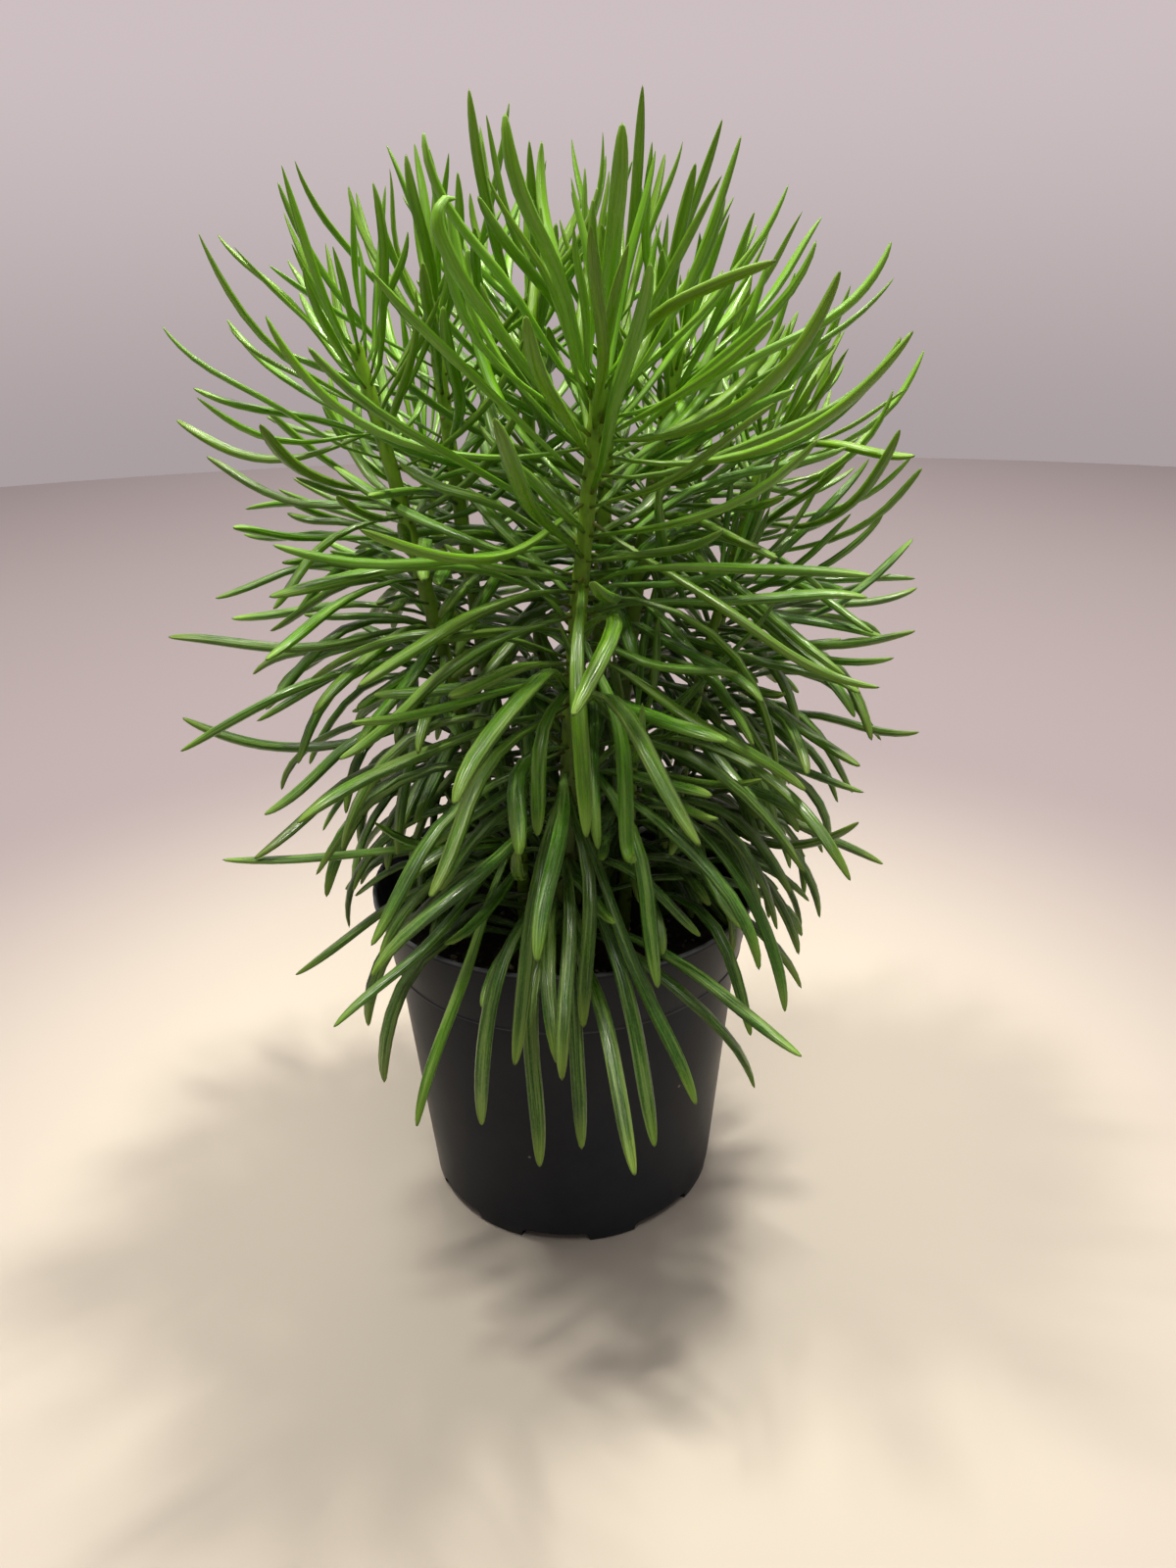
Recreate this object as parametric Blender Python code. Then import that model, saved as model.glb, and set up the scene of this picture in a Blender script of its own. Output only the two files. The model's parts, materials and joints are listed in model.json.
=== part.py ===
"""A potted senecio: a nursery pot, its soil, and twelve upright shoots with long narrow leaves.

Metres, +Z up, -Y towards the front. The origin lies under the middle of the pot, where it stands.
Each shoot is one body with its youngest leaves; each older leaf is a body of its own, seated at
its stem.
"""
import math
import random

import bmesh
import bpy
import numpy as np
from mathutils import Vector, noise

# Pot: a 6-inch nursery pot, a thin tapering wall under a wider band that ends in a lip
RIM_RADIUS = 0.0760
RIM_HEIGHT = 0.1347
LIP_HEIGHT = 0.0028
LIP_OVERHANG = 0.0010
BAND_HEIGHT = 0.1070        # where the band begins
BAND_RADIUS = 0.0700
BODY_RADIUS = 0.0689        # just below the band
LIP_ROUNDING = 0.0006
FOOT_RADIUS = 0.0595
FOOT_CHAMFER = 0.0015
WALL = 0.0012
FLOOR = 0.0016
BAND_STEP = WALL / 3        # half the height of the step under the band
POT_SEGMENTS = 48

# Notches round the foot, each with a drain hole in its ceiling
NOTCHES = 8
NOTCH_TURN = math.radians(-98)     # the first one, a little left of the front
NOTCH_RADIUS = 0.0145
NOTCH_CENTRE = 0.0620
NOTCH_HEIGHT = 0.0044
DRAIN_RADIUS = 0.0030
DRAIN_CENTRE = 0.0530

SOIL_HEIGHT = 0.1200
SOIL_ROUGHNESS = 0.0012
SOIL_RINGS = 4
SOIL_RING_WIDTH = 0.0120
SOIL_LUMPS_PER_METRE = 90
SOIL_EDGE = 0.0050          # the outermost soil stays level
SEAT = 0.0003               # gap between bodies that rest against each other
CUTTER_REACH = 0.0050       # how far a cutter runs past what it cuts
CUTTER_SEGMENTS = 20
SHARP_ANGLE = 40            # edges that turn by more stay sharp (degrees)

# Stems: a bent line from a foot in the soil to the growing tip
STEM_FOOT_Z = 0.1080
STEM_FOOT_RADIUS = 0.0036
STEM_TIP_RADIUS = 0.0022
LOW_SHOOT = 0.260           # a shoot that ends below this height is young and thinner
LOW_STEM_SIZE = 0.75
STEM_SIDES = 8
STEM_RINGS = 11

# Leaves: half round, narrow at the foot, widest before the middle, with a pointed tip
LEAF_WIDTH = 0.0050
LEAF_THICKNESS = 0.0037
LEAF_GAP = 0.0006           # least gap kept between two leaves
LEAF_STEPS = 12             # pieces a leaf's line is divided in while it looks for its place
SHAPE_STEPS = 24            # and when it is shaped
FREE_FROM = 5               # the step from which crown leaves keep clear of each other
CURL_SHARE = 0.86           # a curled tip begins at this share of the leaf
TIP_CROWDING = 1.4          # above 1, a leaf's rings stand closer towards its tip
SINGLE_LEAF_MESH = (6, 8)   # sides and rings
CURLED_LEAF_MESH = (6, 12)
CROWN_LEAF_MESH = (4, 5)
GOLDEN_ANGLE = 137.508

# A leaf's outline, as shares of its length and of its full width
FOOT_WIDTH = 0.36
WIDEST = 0.45
SWELL = 0.8                 # below 1, a leaf widens fast from its foot
TAPER = 0.72                # where an old leaf begins to taper, and a young one
YOUNG_TAPER = 0.45
BLUNTNESS = 2.2             # above 1, the tip is rounder
YOUNG_POINT = 0.4           # how much sharper the tip of a young leaf is
YOUNG_SIZES = [0.55, 0.85]  # sizes of a leaf that is wholly young, and of one no longer young
TIP_WIDTH = 0.03

# How one leaf differs from the next: waves and tip lift (degrees), then the spread of each figure
SWAY = 15
RIPPLE = 12
UPTURN = 28
UPTURN_SHARE = 0.65         # where the lift of the tip begins
UPRIGHT = 70                # a leaf whose tip rises more has no such lift
BEND = 38
TURN_CHANCE = 12
FOOT_CHANCE = 9
TIP_CHANCE = (-18, 12)
LENGTH_CHANCE = (0.88, 1.08)
SIZE_CHANCE = (0.90, 1.08)

# Each shoot: foot x y, bow x y z and tip x y z (mm); leaves; turn of the first leaf (degrees);
# vigour, which scales its leaves
SHOOTS = {
    "front": ((-2, -42), (1, -42, 220), (14, -56, 322), 60, 20, 1.00),
    "middle": ((10, -2), (14, -2, 230), (21, 14, 338), 58, 80, 0.98),
    "right": ((16, 8), (22, 0, 235), (43, 2, 329), 62, 150, 0.90),
    "left": ((-22, 6), (-39, 2, 215), (-65, 4, 332), 56, 215, 0.82),
    "left_inner": ((-12, 22), (-32, 20, 220), (-41, 26, 341), 56, 30, 0.95),
    "back": ((-2, 34), (-10, 38, 230), (-9, 42, 343), 56, 300, 1.00),
    "right_outer": ((34, 12), (54, 14, 215), (79, 24, 297), 58, 100, 0.80),
    "right_back": ((26, 38), (34, 44, 215), (60, 74, 306), 54, 250, 0.85),
    "left_back": ((-28, 40), (-40, 48, 205), (-54, 80, 292), 52, 10, 0.85),
    "low_left": ((-16, -26), (-16, -30, 150), (-15, -38, 172), 18, 70, 0.75),
    "low_right": ((20, -30), (24, -30, 170), (25, -34, 208), 26, 160, 0.80),
    "side_right": ((38, -8), (44, -8, 200), (60, -8, 252), 34, 200, 0.80),
}

# How a leaf is held: its rise at the foot, its rise at the tip and the curl of its tip (degrees)
HABITS = {
    "steep": (40, 65, 0),
    "bowing": (60, -10, 0),
    "rising": (5, 45, 0),
    "sweeping": (-10, 50, 0),
    "dipping": (-20, 25, 0),
    "level": (5, 0, 0),
    "arching": (15, -35, 0),
    "sloping": (-5, -45, 0),
    "sinking": (-30, -25, 0),
    "drooping": (-20, -75, 0),
    "hanging": (5, -95, 0),
    "spilling": (25, -60, 0),
    "curled": (30, 60, 110),
    "hooked": (-35, -95, 150),
}
# The leaves that give the plant its outline, chosen one by one: height up the shoot (share), turn
# (degrees: 0 right, 90 back, 180 left, 270 front), length (mm) and habit
SET_LEAVES = {
    "front": [
        (.93, 225, 85, "curled"), (.98, 195, 80, "steep"), (.98, 240, 80, "steep"),
        (.99, 275, 75, "steep"), (.95, 300, 85, "bowing"), (.95, 0, 95, "rising"),
        (.92, 315, 95, "rising"), (.90, 330, 100, "sweeping"), (.87, 0, 100, "sweeping"),
        (.91, 185, 105, "sweeping"), (.83, 225, 85, "dipping"), (.70, 225, 85, "arching"),
        (.66, 210, 90, "sloping"), (.72, 270, 90, "drooping"), (.64, 285, 85, "hooked"),
        (.80, 330, 100, "sinking"), (.60, 330, 85, "sloping"), (.50, 210, 95, "arching"),
        (.40, 255, 100, "drooping"), (.22, 245, 100, "hanging"), (.17, 265, 100, "hanging"),
        (.10, 280, 110, "spilling"), (.26, 290, 105, "drooping"), (.33, 300, 105, "drooping"),
        (.14, 315, 100, "arching"),
    ],
    "low_left": [(.95, 240, 105, "drooping"), (.85, 225, 90, "sloping"), (.75, 195, 90, "sloping")],
    "low_right": [(.95, 315, 95, "spilling"), (.70, 315, 100, "hanging")],
    "side_right": [(.40, 315, 80, "dipping"), (.85, 330, 70, "level")],
    "middle": [(.70, 330, 105, "sloping")],
    "right_outer": [
        (.97, 300, 70, "level"), (.83, 300, 85, "rising"), (.60, 15, 85, "level"),
        (.30, 345, 85, "sloping"),
    ],
    "left": [
        (.45, 210, 80, "sloping"), (.58, 195, 90, "level"), (.44, 195, 100, "dipping"),
        (.52, 210, 100, "arching"), (.88, 180, 70, "dipping"),
    ],
    "right_back": [(.70, 60, 90, "level"), (.50, 90, 95, "arching"), (.30, 45, 100, "sloping")],
    "left_back": [(.70, 135, 85, "level"), (.50, 105, 90, "arching"), (.30, 150, 95, "sloping")],
    "back": [(.60, 90, 95, "level"), (.30, 75, 100, "sloping")],
}
JOINED_FROM = 0.96          # a leaf set above this share of a tall stem grows in its crown

# How a leaf changes with its age, from the youngest (0) to the oldest (1) of a shoot
AGES = [0.0, 0.05, 0.10, 0.18, 0.30, 0.45, 0.60, 0.80, 1.0]
LENGTHS = [44, 70, 80, 87, 92, 96, 100, 102, 98]
FOOT_RISES = [82, 68, 54, 38, 20, 14, 16, 22, 26]
TIP_RISES = [84, 74, 64, 56, 36, -4, -42, -66, -80]
SIZE_AGES = [0, 0.1, 0.5]
SIZES = [0.60, 0.76, 1.08]  # width against the full one
LEAN_AGES = [0.1, 0.5]
LEANS = [1, 0.2]            # how far a leaf follows the lean of its stem
SET_HEIGHTS = [0.5, 0.85]
SET_SIZES = [1.06, 0.92]    # width of a chosen leaf by its height up the shoot
TOP_LEAF = 0.995            # height of the youngest leaf up its shoot (share)
LEAFY_SHARE = 0.93          # how far down a tall shoot is leafy, and a low one
LOW_LEAFY_SHARE = 0.85
TOP_CROWDING = 1.25         # above 1, leaves stand closer towards the growing tip
POT_CLEARANCE = 0.8         # share of a leaf's half width kept from the pot, besides the gap
CROWN_LEAVES = 8            # youngest leaves of a tall shoot, joined to it
LOW_CROWN_LEAVES = 5

# Small turns and lifts (degrees) tried in order until a leaf finds free space
NUDGES = [
    (0, 0), (6, 0), (-6, 0), (0, 6), (0, -6), (12, 0), (-12, 0), (6, 8), (-6, 8), (0, 14),
    (18, 4), (-18, 4), (0, -14), (12, 16), (-12, 16), (0, 24), (24, 10), (-24, 10), (0, 36),
]

POT_BLACK = (0.0130, 0.0119, 0.0110)
SOIL_BROWN = (0.0160, 0.0105, 0.0070)
STEM_GREEN = (0.1100, 0.1950, 0.0170)
LEAF_GREEN = (0.0560, 0.1900, 0.0230)


def material(name, colour, roughness):
    """A plain material with the piece's own colour, roughness and no metal."""
    made = bpy.data.materials.new(name)
    made.use_nodes = True
    shader = made.node_tree.nodes["Principled BSDF"]
    shader.inputs["Base Color"].default_value = (*colour, 1)
    shader.inputs["Roughness"].default_value = roughness
    shader.inputs["Metallic"].default_value = 0.0
    made.diffuse_color = (*colour, 1)
    return made


def finish(bm, name, surface=None):
    """Makes the named object; one without a material is a cutter."""
    mesh = bpy.data.meshes.new(name)
    bm.to_mesh(mesh)
    bm.free()
    mesh.shade_smooth()
    mesh.set_sharp_from_angle(angle=math.radians(SHARP_ANGLE))
    made = bpy.data.objects.new(name, mesh)
    bpy.context.scene.collection.objects.link(made)
    if surface:
        mesh.materials.append(surface)
    else:
        made.hide_render = True
        made.display_type = "WIRE"
    return made


def boolean(target, other, operation):
    """Cuts the other object out of the target, or joins it to the target."""
    step = target.modifiers.new(f"{operation.lower()}_{other.name}", "BOOLEAN")
    step.operation = operation
    step.object = other
    step.solver = "EXACT"
    step.use_self = operation == "UNION"


# --- pot and soil ---

def turned(profile, name, surface=None):
    """A solid of revolution about Z from (radius, height) points that begin and end on the axis."""
    bm = bmesh.new()
    points = [bm.verts.new((radius, 0, height)) for radius, height in profile]
    edges = [bm.edges.new(pair) for pair in zip(points, points[1:])]
    bmesh.ops.spin(
        bm, geom=points + edges, axis=(0, 0, 1), cent=(0, 0, 0),
        angle=math.tau, steps=POT_SEGMENTS, use_merge=True)
    bmesh.ops.remove_doubles(bm, verts=bm.verts, dist=1e-6)
    bmesh.ops.recalc_face_normals(bm, faces=bm.faces)
    return finish(bm, name, surface)


def pot_outline():
    """The outer profile, from the middle of the floor up to the lip."""
    lip_z = RIM_HEIGHT - LIP_HEIGHT
    lip_radius = RIM_RADIUS - LIP_OVERHANG
    return [
        (0, 0),
        (FOOT_RADIUS - FOOT_CHAMFER, 0),
        (FOOT_RADIUS, FOOT_CHAMFER),
        (BODY_RADIUS, BAND_HEIGHT - BAND_STEP),
        (BAND_RADIUS, BAND_HEIGHT + BAND_STEP),
        (lip_radius, lip_z),
        (RIM_RADIUS, lip_z + LIP_ROUNDING),
        (RIM_RADIUS, RIM_HEIGHT - LIP_ROUNDING),
        (RIM_RADIUS - LIP_ROUNDING, RIM_HEIGHT),
        (0, RIM_HEIGHT),
    ]


def pot_inside(gap, floor, top):
    """The profile of the hollow, with its wall and floor set in by a gap and closed at the top."""
    lean = (RIM_RADIUS - LIP_OVERHANG - BAND_RADIUS) / (RIM_HEIGHT - LIP_HEIGHT - BAND_HEIGHT)
    band_radius = BAND_RADIUS - WALL - gap
    return [
        (0, floor),
        (FOOT_RADIUS - WALL - gap, floor),
        (BODY_RADIUS - WALL - gap, BAND_HEIGHT - BAND_STEP),
        (band_radius, BAND_HEIGHT + BAND_STEP),
        (band_radius + lean * (top - BAND_HEIGHT - BAND_STEP), top),
        (0, top),
    ]


def foot_cutters(name, radius, centre, bottom, top):
    """Upright cylinders, evenly spaced round the foot."""
    bm = bmesh.new()
    for number in range(NOTCHES):
        turn = NOTCH_TURN + number * math.tau / NOTCHES
        made = bmesh.ops.create_cone(
            bm, cap_ends=True, segments=CUTTER_SEGMENTS, radius1=radius, radius2=radius, depth=top - bottom)
        middle = Vector((math.cos(turn) * centre, math.sin(turn) * centre, (bottom + top) / 2))
        bmesh.ops.translate(bm, verts=made["verts"], vec=middle)
    return finish(bm, name)


def build_pot():
    """A thin shell, open at the top, with notches and drain holes round its foot."""
    below = -CUTTER_REACH
    above = RIM_HEIGHT + CUTTER_REACH
    pot = turned(pot_outline(), "pot", material("black_plastic", POT_BLACK, 0.42))
    hollow = turned(pot_inside(0, FLOOR, above), "pot_hollow")
    notches = foot_cutters("foot_notches", NOTCH_RADIUS, NOTCH_CENTRE, below, NOTCH_HEIGHT)
    notch_walls = foot_cutters(
        "foot_notch_walls", NOTCH_RADIUS + WALL, NOTCH_CENTRE, below, NOTCH_HEIGHT + WALL)
    drains = foot_cutters("drain_holes", DRAIN_RADIUS, DRAIN_CENTRE, below, NOTCH_HEIGHT * 2)
    boolean(hollow, notch_walls, "DIFFERENCE")
    boolean(pot, hollow, "DIFFERENCE")
    boolean(pot, notches, "DIFFERENCE")
    boolean(pot, drains, "DIFFERENCE")


def build_soil():
    """The soil fills the pot nearly to the rim; its top is uneven and sockets hold the stems."""
    soil = turned(
        pot_inside(SEAT, FLOOR + SEAT, SOIL_HEIGHT), "soil", material("potting_soil", SOIL_BROWN, 0.95))
    bm = bmesh.new()
    bm.from_mesh(soil.data)
    top = [face for face in bm.faces if face.calc_center_median().z > SOIL_HEIGHT - 1e-5]
    for _ in range(SOIL_RINGS):
        bmesh.ops.inset_region(bm, faces=top, thickness=SOIL_RING_WIDTH, use_even_offset=True)
    for vertex in bm.verts:
        if vertex.co.z > SOIL_HEIGHT - 1e-5 and vertex.co.xy.length < BAND_RADIUS - SOIL_EDGE:
            vertex.co.z += SOIL_ROUGHNESS * noise.noise(vertex.co * SOIL_LUMPS_PER_METRE)
    bm.to_mesh(soil.data)
    bm.free()
    gap_walls = foot_cutters(
        "soil_over_notches", NOTCH_RADIUS + WALL + SEAT, NOTCH_CENTRE, -CUTTER_REACH,
        NOTCH_HEIGHT + WALL + SEAT)
    boolean(soil, gap_walls, "DIFFERENCE")
    for shoot in SHOOTS:
        boolean(soil, stem(shoot, f"socket_{shoot}", SEAT), "DIFFERENCE")


# --- stems ---

def millimetres(*values):
    """A point or vector given in millimetres."""
    return np.array(values, float) / 1000


def along_stem(shoot, height):
    """The point on a stem's axis at a share of its height."""
    foot, bow, tip = SHOOTS[shoot][:3]
    start = np.array([*millimetres(*foot), STEM_FOOT_Z])
    return (
        (1 - height) ** 2 * start
        + 2 * height * (1 - height) * millimetres(*bow)
        + height ** 2 * millimetres(*tip))


def is_low(shoot):
    """Whether the shoot is one of the short young ones."""
    return SHOOTS[shoot][2][2] < LOW_SHOOT * 1000


def stem_radius(shoot, height):
    """The stem's radius at a share of its height."""
    size = LOW_STEM_SIZE if is_low(shoot) else 1.0
    return size * (STEM_FOOT_RADIUS + (STEM_TIP_RADIUS - STEM_FOOT_RADIUS) * height)


def stem_direction(shoot, height):
    """The unit vector along the stem at a share of its height."""
    ahead = along_stem(shoot, height + 0.02) - along_stem(shoot, height - 0.02)
    return ahead / np.linalg.norm(ahead)


def bar(sides, rings):
    """A bar along Z from 0 to 1, of radius 1, with evenly spaced rings."""
    bm = bmesh.new()
    bmesh.ops.create_cone(bm, cap_ends=True, segments=sides, radius1=1, radius2=1, depth=1)
    bmesh.ops.translate(bm, verts=bm.verts, vec=(0, 0, 0.5))
    long_edges = [edge for edge in bm.edges if abs(edge.verts[0].co.z - edge.verts[1].co.z) > 0.5]
    bmesh.ops.subdivide_edges(bm, edges=long_edges, cuts=rings - 1)
    return bm


def stem(shoot, name, gap=0.0, surface=None):
    """The stem as a bent taper, or its socket where a gap makes it wider and longer."""
    bm = bar(STEM_SIDES, STEM_RINGS)
    for vertex in bm.verts:
        height = vertex.co.z
        centre = along_stem(shoot, height)
        ahead = stem_direction(shoot, height)
        side = np.cross(ahead, [0, 1, 0])
        side /= np.linalg.norm(side)
        radius = stem_radius(shoot, height) + gap
        point = centre + radius * (side * vertex.co.x + np.cross(ahead, side) * vertex.co.y)
        if height < 1e-6:
            point = point - ahead * gap
        vertex.co = Vector(point)
    return finish(bm, name, surface)


# --- leaves ---

def leaf_half_width(share, size):
    """Half the leaf's width at a share of its length; a narrow young leaf tapers sooner."""
    swell = FOOT_WIDTH + (1 - FOOT_WIDTH) * np.clip(share / WIDEST, 0, 1) ** SWELL
    youth = float(np.interp(size, YOUNG_SIZES, [1, 0]))
    tapering_from = TAPER + (YOUNG_TAPER - TAPER) * youth
    end = np.clip((share - tapering_from) / (1 - tapering_from), 0, 1)
    tip = (1 - end ** BLUNTNESS) ** (0.5 + YOUNG_POINT * youth)
    return size * LEAF_WIDTH / 2 * swell * np.maximum(tip, TIP_WIDTH)


def lean_matrix(shoot, height, share):
    """Turns the vertical a share of the way to the stem's own direction."""
    upright = np.array([0, 0, 1.0])
    ahead = stem_direction(shoot, height) * share + upright * (1 - share)
    ahead /= np.linalg.norm(ahead)
    turn = Vector(upright).rotation_difference(Vector(ahead))
    return np.array(turn.to_matrix())


def leaf_frame(
        shoot, height, turn, length, foot_rise, tip_rise, bend, curl=0, lean=0, steps=LEAF_STEPS):
    """Points along the leaf, with its sideways and upper directions at each of them."""
    chance = random.Random(f"{shoot} {height:.3f} {length:.1f}")
    sway, ripple = chance.uniform(-SWAY, SWAY), chance.uniform(-RIPPLE, RIPPLE)
    upturn = chance.uniform(0, UPTURN) if tip_rise < UPRIGHT else 0

    def angles(share):
        hooked = np.clip((share - CURL_SHARE) / (1 - CURL_SHARE), 0, 1)
        upturned = np.clip((share - UPTURN_SHARE) / (1 - UPTURN_SHARE), 0, 1)
        wave = np.sin(math.tau * share)
        rise = foot_rise + (tip_rise - foot_rise) * share + curl * hooked
        rise = rise + ripple * wave + upturn * upturned
        return np.radians(rise), np.radians(turn + bend * share ** 1.5 + sway * wave)

    matrix = lean_matrix(shoot, height, lean)
    rise, around = angles((np.arange(steps) + 0.5) / steps)
    ahead = np.stack([np.cos(rise) * np.cos(around), np.cos(rise) * np.sin(around), np.sin(rise)], 1)
    out = np.array([math.cos(math.radians(turn)), math.sin(math.radians(turn)), 0.0])
    slant = abs(math.sin(math.radians(foot_rise))) * leaf_half_width(0.0, 1.0)
    leaning = math.sqrt(1 - float(out @ stem_direction(shoot, height)) ** 2)
    foot = along_stem(shoot, height) + out * (stem_radius(shoot, height) + SEAT + slant) / leaning
    line = np.vstack([foot, foot + np.cumsum(ahead @ matrix.T, 0) * length / 1000 / steps])
    rise, around = angles(np.arange(steps + 1) / steps)
    side = np.stack([-np.sin(around), np.cos(around), np.zeros(steps + 1)], 1)
    upper = np.stack([-np.sin(rise) * np.cos(around), -np.sin(rise) * np.sin(around), np.cos(rise)], 1)
    return line, side @ matrix.T, upper @ matrix.T


class Room:
    """The space already taken, as chains of round rods, each kept with its owner and its box."""

    # leaves are thinner than wide, so heights are stretched and rods may lie closer above each other
    SQUASH = np.array([1.0, 1.0, 1.5])

    def __init__(self):
        self.rods = []

    def add(self, owner, line, radius):
        """Takes the space of one stem or leaf."""
        line = line * self.SQUASH
        reach = radius.max()
        self.rods.append((owner, line, radius, line.min(0) - reach, line.max(0) + reach))

    def is_clear(self, line, radius, owner=None):
        """Whether a leaf keeps its gap to everything but its owner's own pieces."""
        line = line * self.SQUASH
        reach = radius.max() + LEAF_GAP
        low, high = line.min(0) - reach, line.max(0) + reach
        for other, rod, rod_radius, rod_low, rod_high in self.rods:
            if other == owner or (rod_low > high).any() or (rod_high < low).any():
                continue
            start, span = rod[:-1], np.diff(rod, axis=0)
            share = ((line[:, None] - start) * span).sum(2) / (span ** 2).sum(1)
            share = np.clip(share, 0, 1)
            nearest = start + span * share[..., None]
            distance = np.linalg.norm(line[:, None] - nearest, axis=2)
            taken = rod_radius[:-1] + np.diff(rod_radius) * share
            if (distance < radius[:, None] + taken + LEAF_GAP).any():
                return False
        return True


def finer(line, radius, times=3):
    """The same line and radii with more points along them."""
    old = np.arange(len(line))
    new = np.linspace(0, len(line) - 1, (len(line) - 1) * times + 1)
    points = np.stack([np.interp(new, old, line[:, axis]) for axis in range(3)], 1)
    return points, np.interp(new, old, radius)


def clears_pot(line, radius):
    """Whether each point is above the soil inside the rim, above the rim, or outside the pot."""
    from_axis = np.hypot(line[:, 0], line[:, 1])
    height = line[:, 2]
    need = radius * POT_CLEARANCE + LEAF_GAP
    wall = np.interp(height, [0, BAND_HEIGHT, RIM_HEIGHT], [FOOT_RADIUS, BAND_RADIUS, RIM_RADIUS])
    outside = from_axis > wall + need
    above = height > RIM_HEIGHT + need
    inside = (height > SOIL_HEIGHT + SOIL_ROUGHNESS + need) & (from_axis < BAND_RADIUS - need)
    return bool((outside | above | inside).all())


def place_leaf(room, kind, leaf, size, lean=0, skip=2):
    """Nudges a leaf until it is clear, takes its space, and returns its figures."""
    shoot, height, turn, length, foot_rise, tip_rise, bend, curl = leaf
    owner = shoot if kind == "crown" else None
    for swing, lift in NUDGES:
        figures = (
            shoot, height, turn + swing, length, foot_rise + lift / 2, tip_rise + lift, bend, curl, lean)
        middle = leaf_frame(*figures)[0]
        radius = leaf_half_width(np.linspace(0, 1, LEAF_STEPS + 1), size)
        line, fine_radius = finer(middle, radius)
        if clears_pot(line[skip:], fine_radius[skip:]) and room.is_clear(
                line[skip:], fine_radius[skip:], owner):
            if kind == "crown":
                room.add(owner, middle[:FREE_FROM + 1], radius[:FREE_FROM + 1])
                room.add(None, middle[FREE_FROM:], radius[FREE_FROM:])
            else:
                room.add(None, middle, radius)
            return {"kind": kind, "figures": figures, "size": size}
    return None


def chosen_leaves(table):
    """The figures of the leaves that a table lists by shoot and habit."""
    return [
        (shoot, height, turn, length, *HABITS[habit][:2], 0, HABITS[habit][2])
        for shoot, rows in table.items() for height, turn, length, habit in rows]


def set_leaf_size(height):
    """A leaf is widest half-way up the plant and narrower towards the crown."""
    return float(np.interp(height, SET_HEIGHTS, SET_SIZES))


def young_leaf(shoot, number):
    """The figures of a shoot's leaf that follows from its number, counted from the growing tip."""
    count, first_turn, vigour = SHOOTS[shoot][3:]
    chance = random.Random(100 * list(SHOOTS).index(shoot) + number)
    age = number / (count - 1)
    reach = LOW_LEAFY_SHARE if is_low(shoot) else LEAFY_SHARE
    height = TOP_LEAF - reach * age ** TOP_CROWDING
    turn = first_turn + GOLDEN_ANGLE * number + chance.uniform(-TURN_CHANCE, TURN_CHANCE)
    length = vigour * np.interp(age, AGES, LENGTHS) * chance.uniform(*LENGTH_CHANCE)
    foot_rise = np.interp(age, AGES, FOOT_RISES) + chance.uniform(-FOOT_CHANCE, FOOT_CHANCE)
    tip_rise = np.interp(age, AGES, TIP_RISES) + chance.uniform(*TIP_CHANCE)
    bend = chance.uniform(-BEND, BEND)
    size = np.interp(age, SIZE_AGES, SIZES) * (1 + vigour) / 2
    size *= chance.uniform(*SIZE_CHANCE)
    lean = float(np.interp(age, LEAN_AGES, LEANS))
    return (shoot, height, turn, length, foot_rise, tip_rise, bend, 0), size, lean


def grow():
    """Every leaf of the model, placed so that none touches another."""
    room = Room()
    for shoot in SHOOTS:
        heights = np.linspace(0, 1, STEM_RINGS + 1)
        line = np.array([along_stem(shoot, height) for height in heights])
        room.add(shoot, line, np.array([stem_radius(shoot, height) for height in heights]))
    leaves = []
    for leaf in chosen_leaves(SET_LEAVES):
        crown = leaf[1] > JOINED_FROM and not is_low(leaf[0])
        leaves.append(place_leaf(room, "crown" if crown else "single", leaf, set_leaf_size(leaf[1])))
    for shoot in SHOOTS:
        for number in range(LOW_CROWN_LEAVES if is_low(shoot) else CROWN_LEAVES):
            leaf, size, lean = young_leaf(shoot, number)
            leaves.append(place_leaf(room, "crown", leaf, size, lean))
    return [leaf for leaf in leaves if leaf]


def leaf_shape(leaf, mesh_size):
    """The leaf as a closed bent bar with a pointed tip; a crown leaf starts inside its stem."""
    line, side, upper = leaf_frame(*leaf["figures"], steps=SHAPE_STEPS)
    if leaf["kind"] == "crown":
        line[0] = along_stem(*leaf["figures"][:2])
    at = np.linspace(0, 1, len(line))
    bm = bar(*mesh_size)
    tip = [vertex for vertex in bm.verts if vertex.co.z > 1 - 1e-6]
    bmesh.ops.pointmerge(bm, verts=tip, merge_co=(0, 0, 1))
    for vertex in bm.verts:
        across, through, height = vertex.co
        share = 1 - (1 - height) ** TIP_CROWDING
        point, sideways, upwards = (
            np.array([np.interp(share, at, values[:, axis]) for axis in range(3)])
            for values in (line, side, upper))
        half_width = leaf_half_width(share, leaf["size"])
        half_thickness = half_width * LEAF_THICKNESS / LEAF_WIDTH
        point = point + sideways * across * half_width + upwards * through * half_thickness
        vertex.co = Vector(point)
    return bm


def join(shapes):
    """Several shapes in one bmesh."""
    joined = bmesh.new()
    for shape in shapes:
        mesh = bpy.data.meshes.new("shape")
        shape.to_mesh(mesh)
        shape.free()
        joined.from_mesh(mesh)
        bpy.data.meshes.remove(mesh)
    return joined


def build_shoot(shoot, leaves, surface):
    """One shoot: its stem joined with the young leaves of its crown."""
    made = stem(shoot, f"shoot_{shoot}", surface=surface)
    shapes = [leaf_shape(leaf, CROWN_LEAF_MESH) for leaf in leaves if leaf["kind"] == "crown"]
    boolean(made, finish(join(shapes), f"crown_{shoot}"), "UNION")


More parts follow.
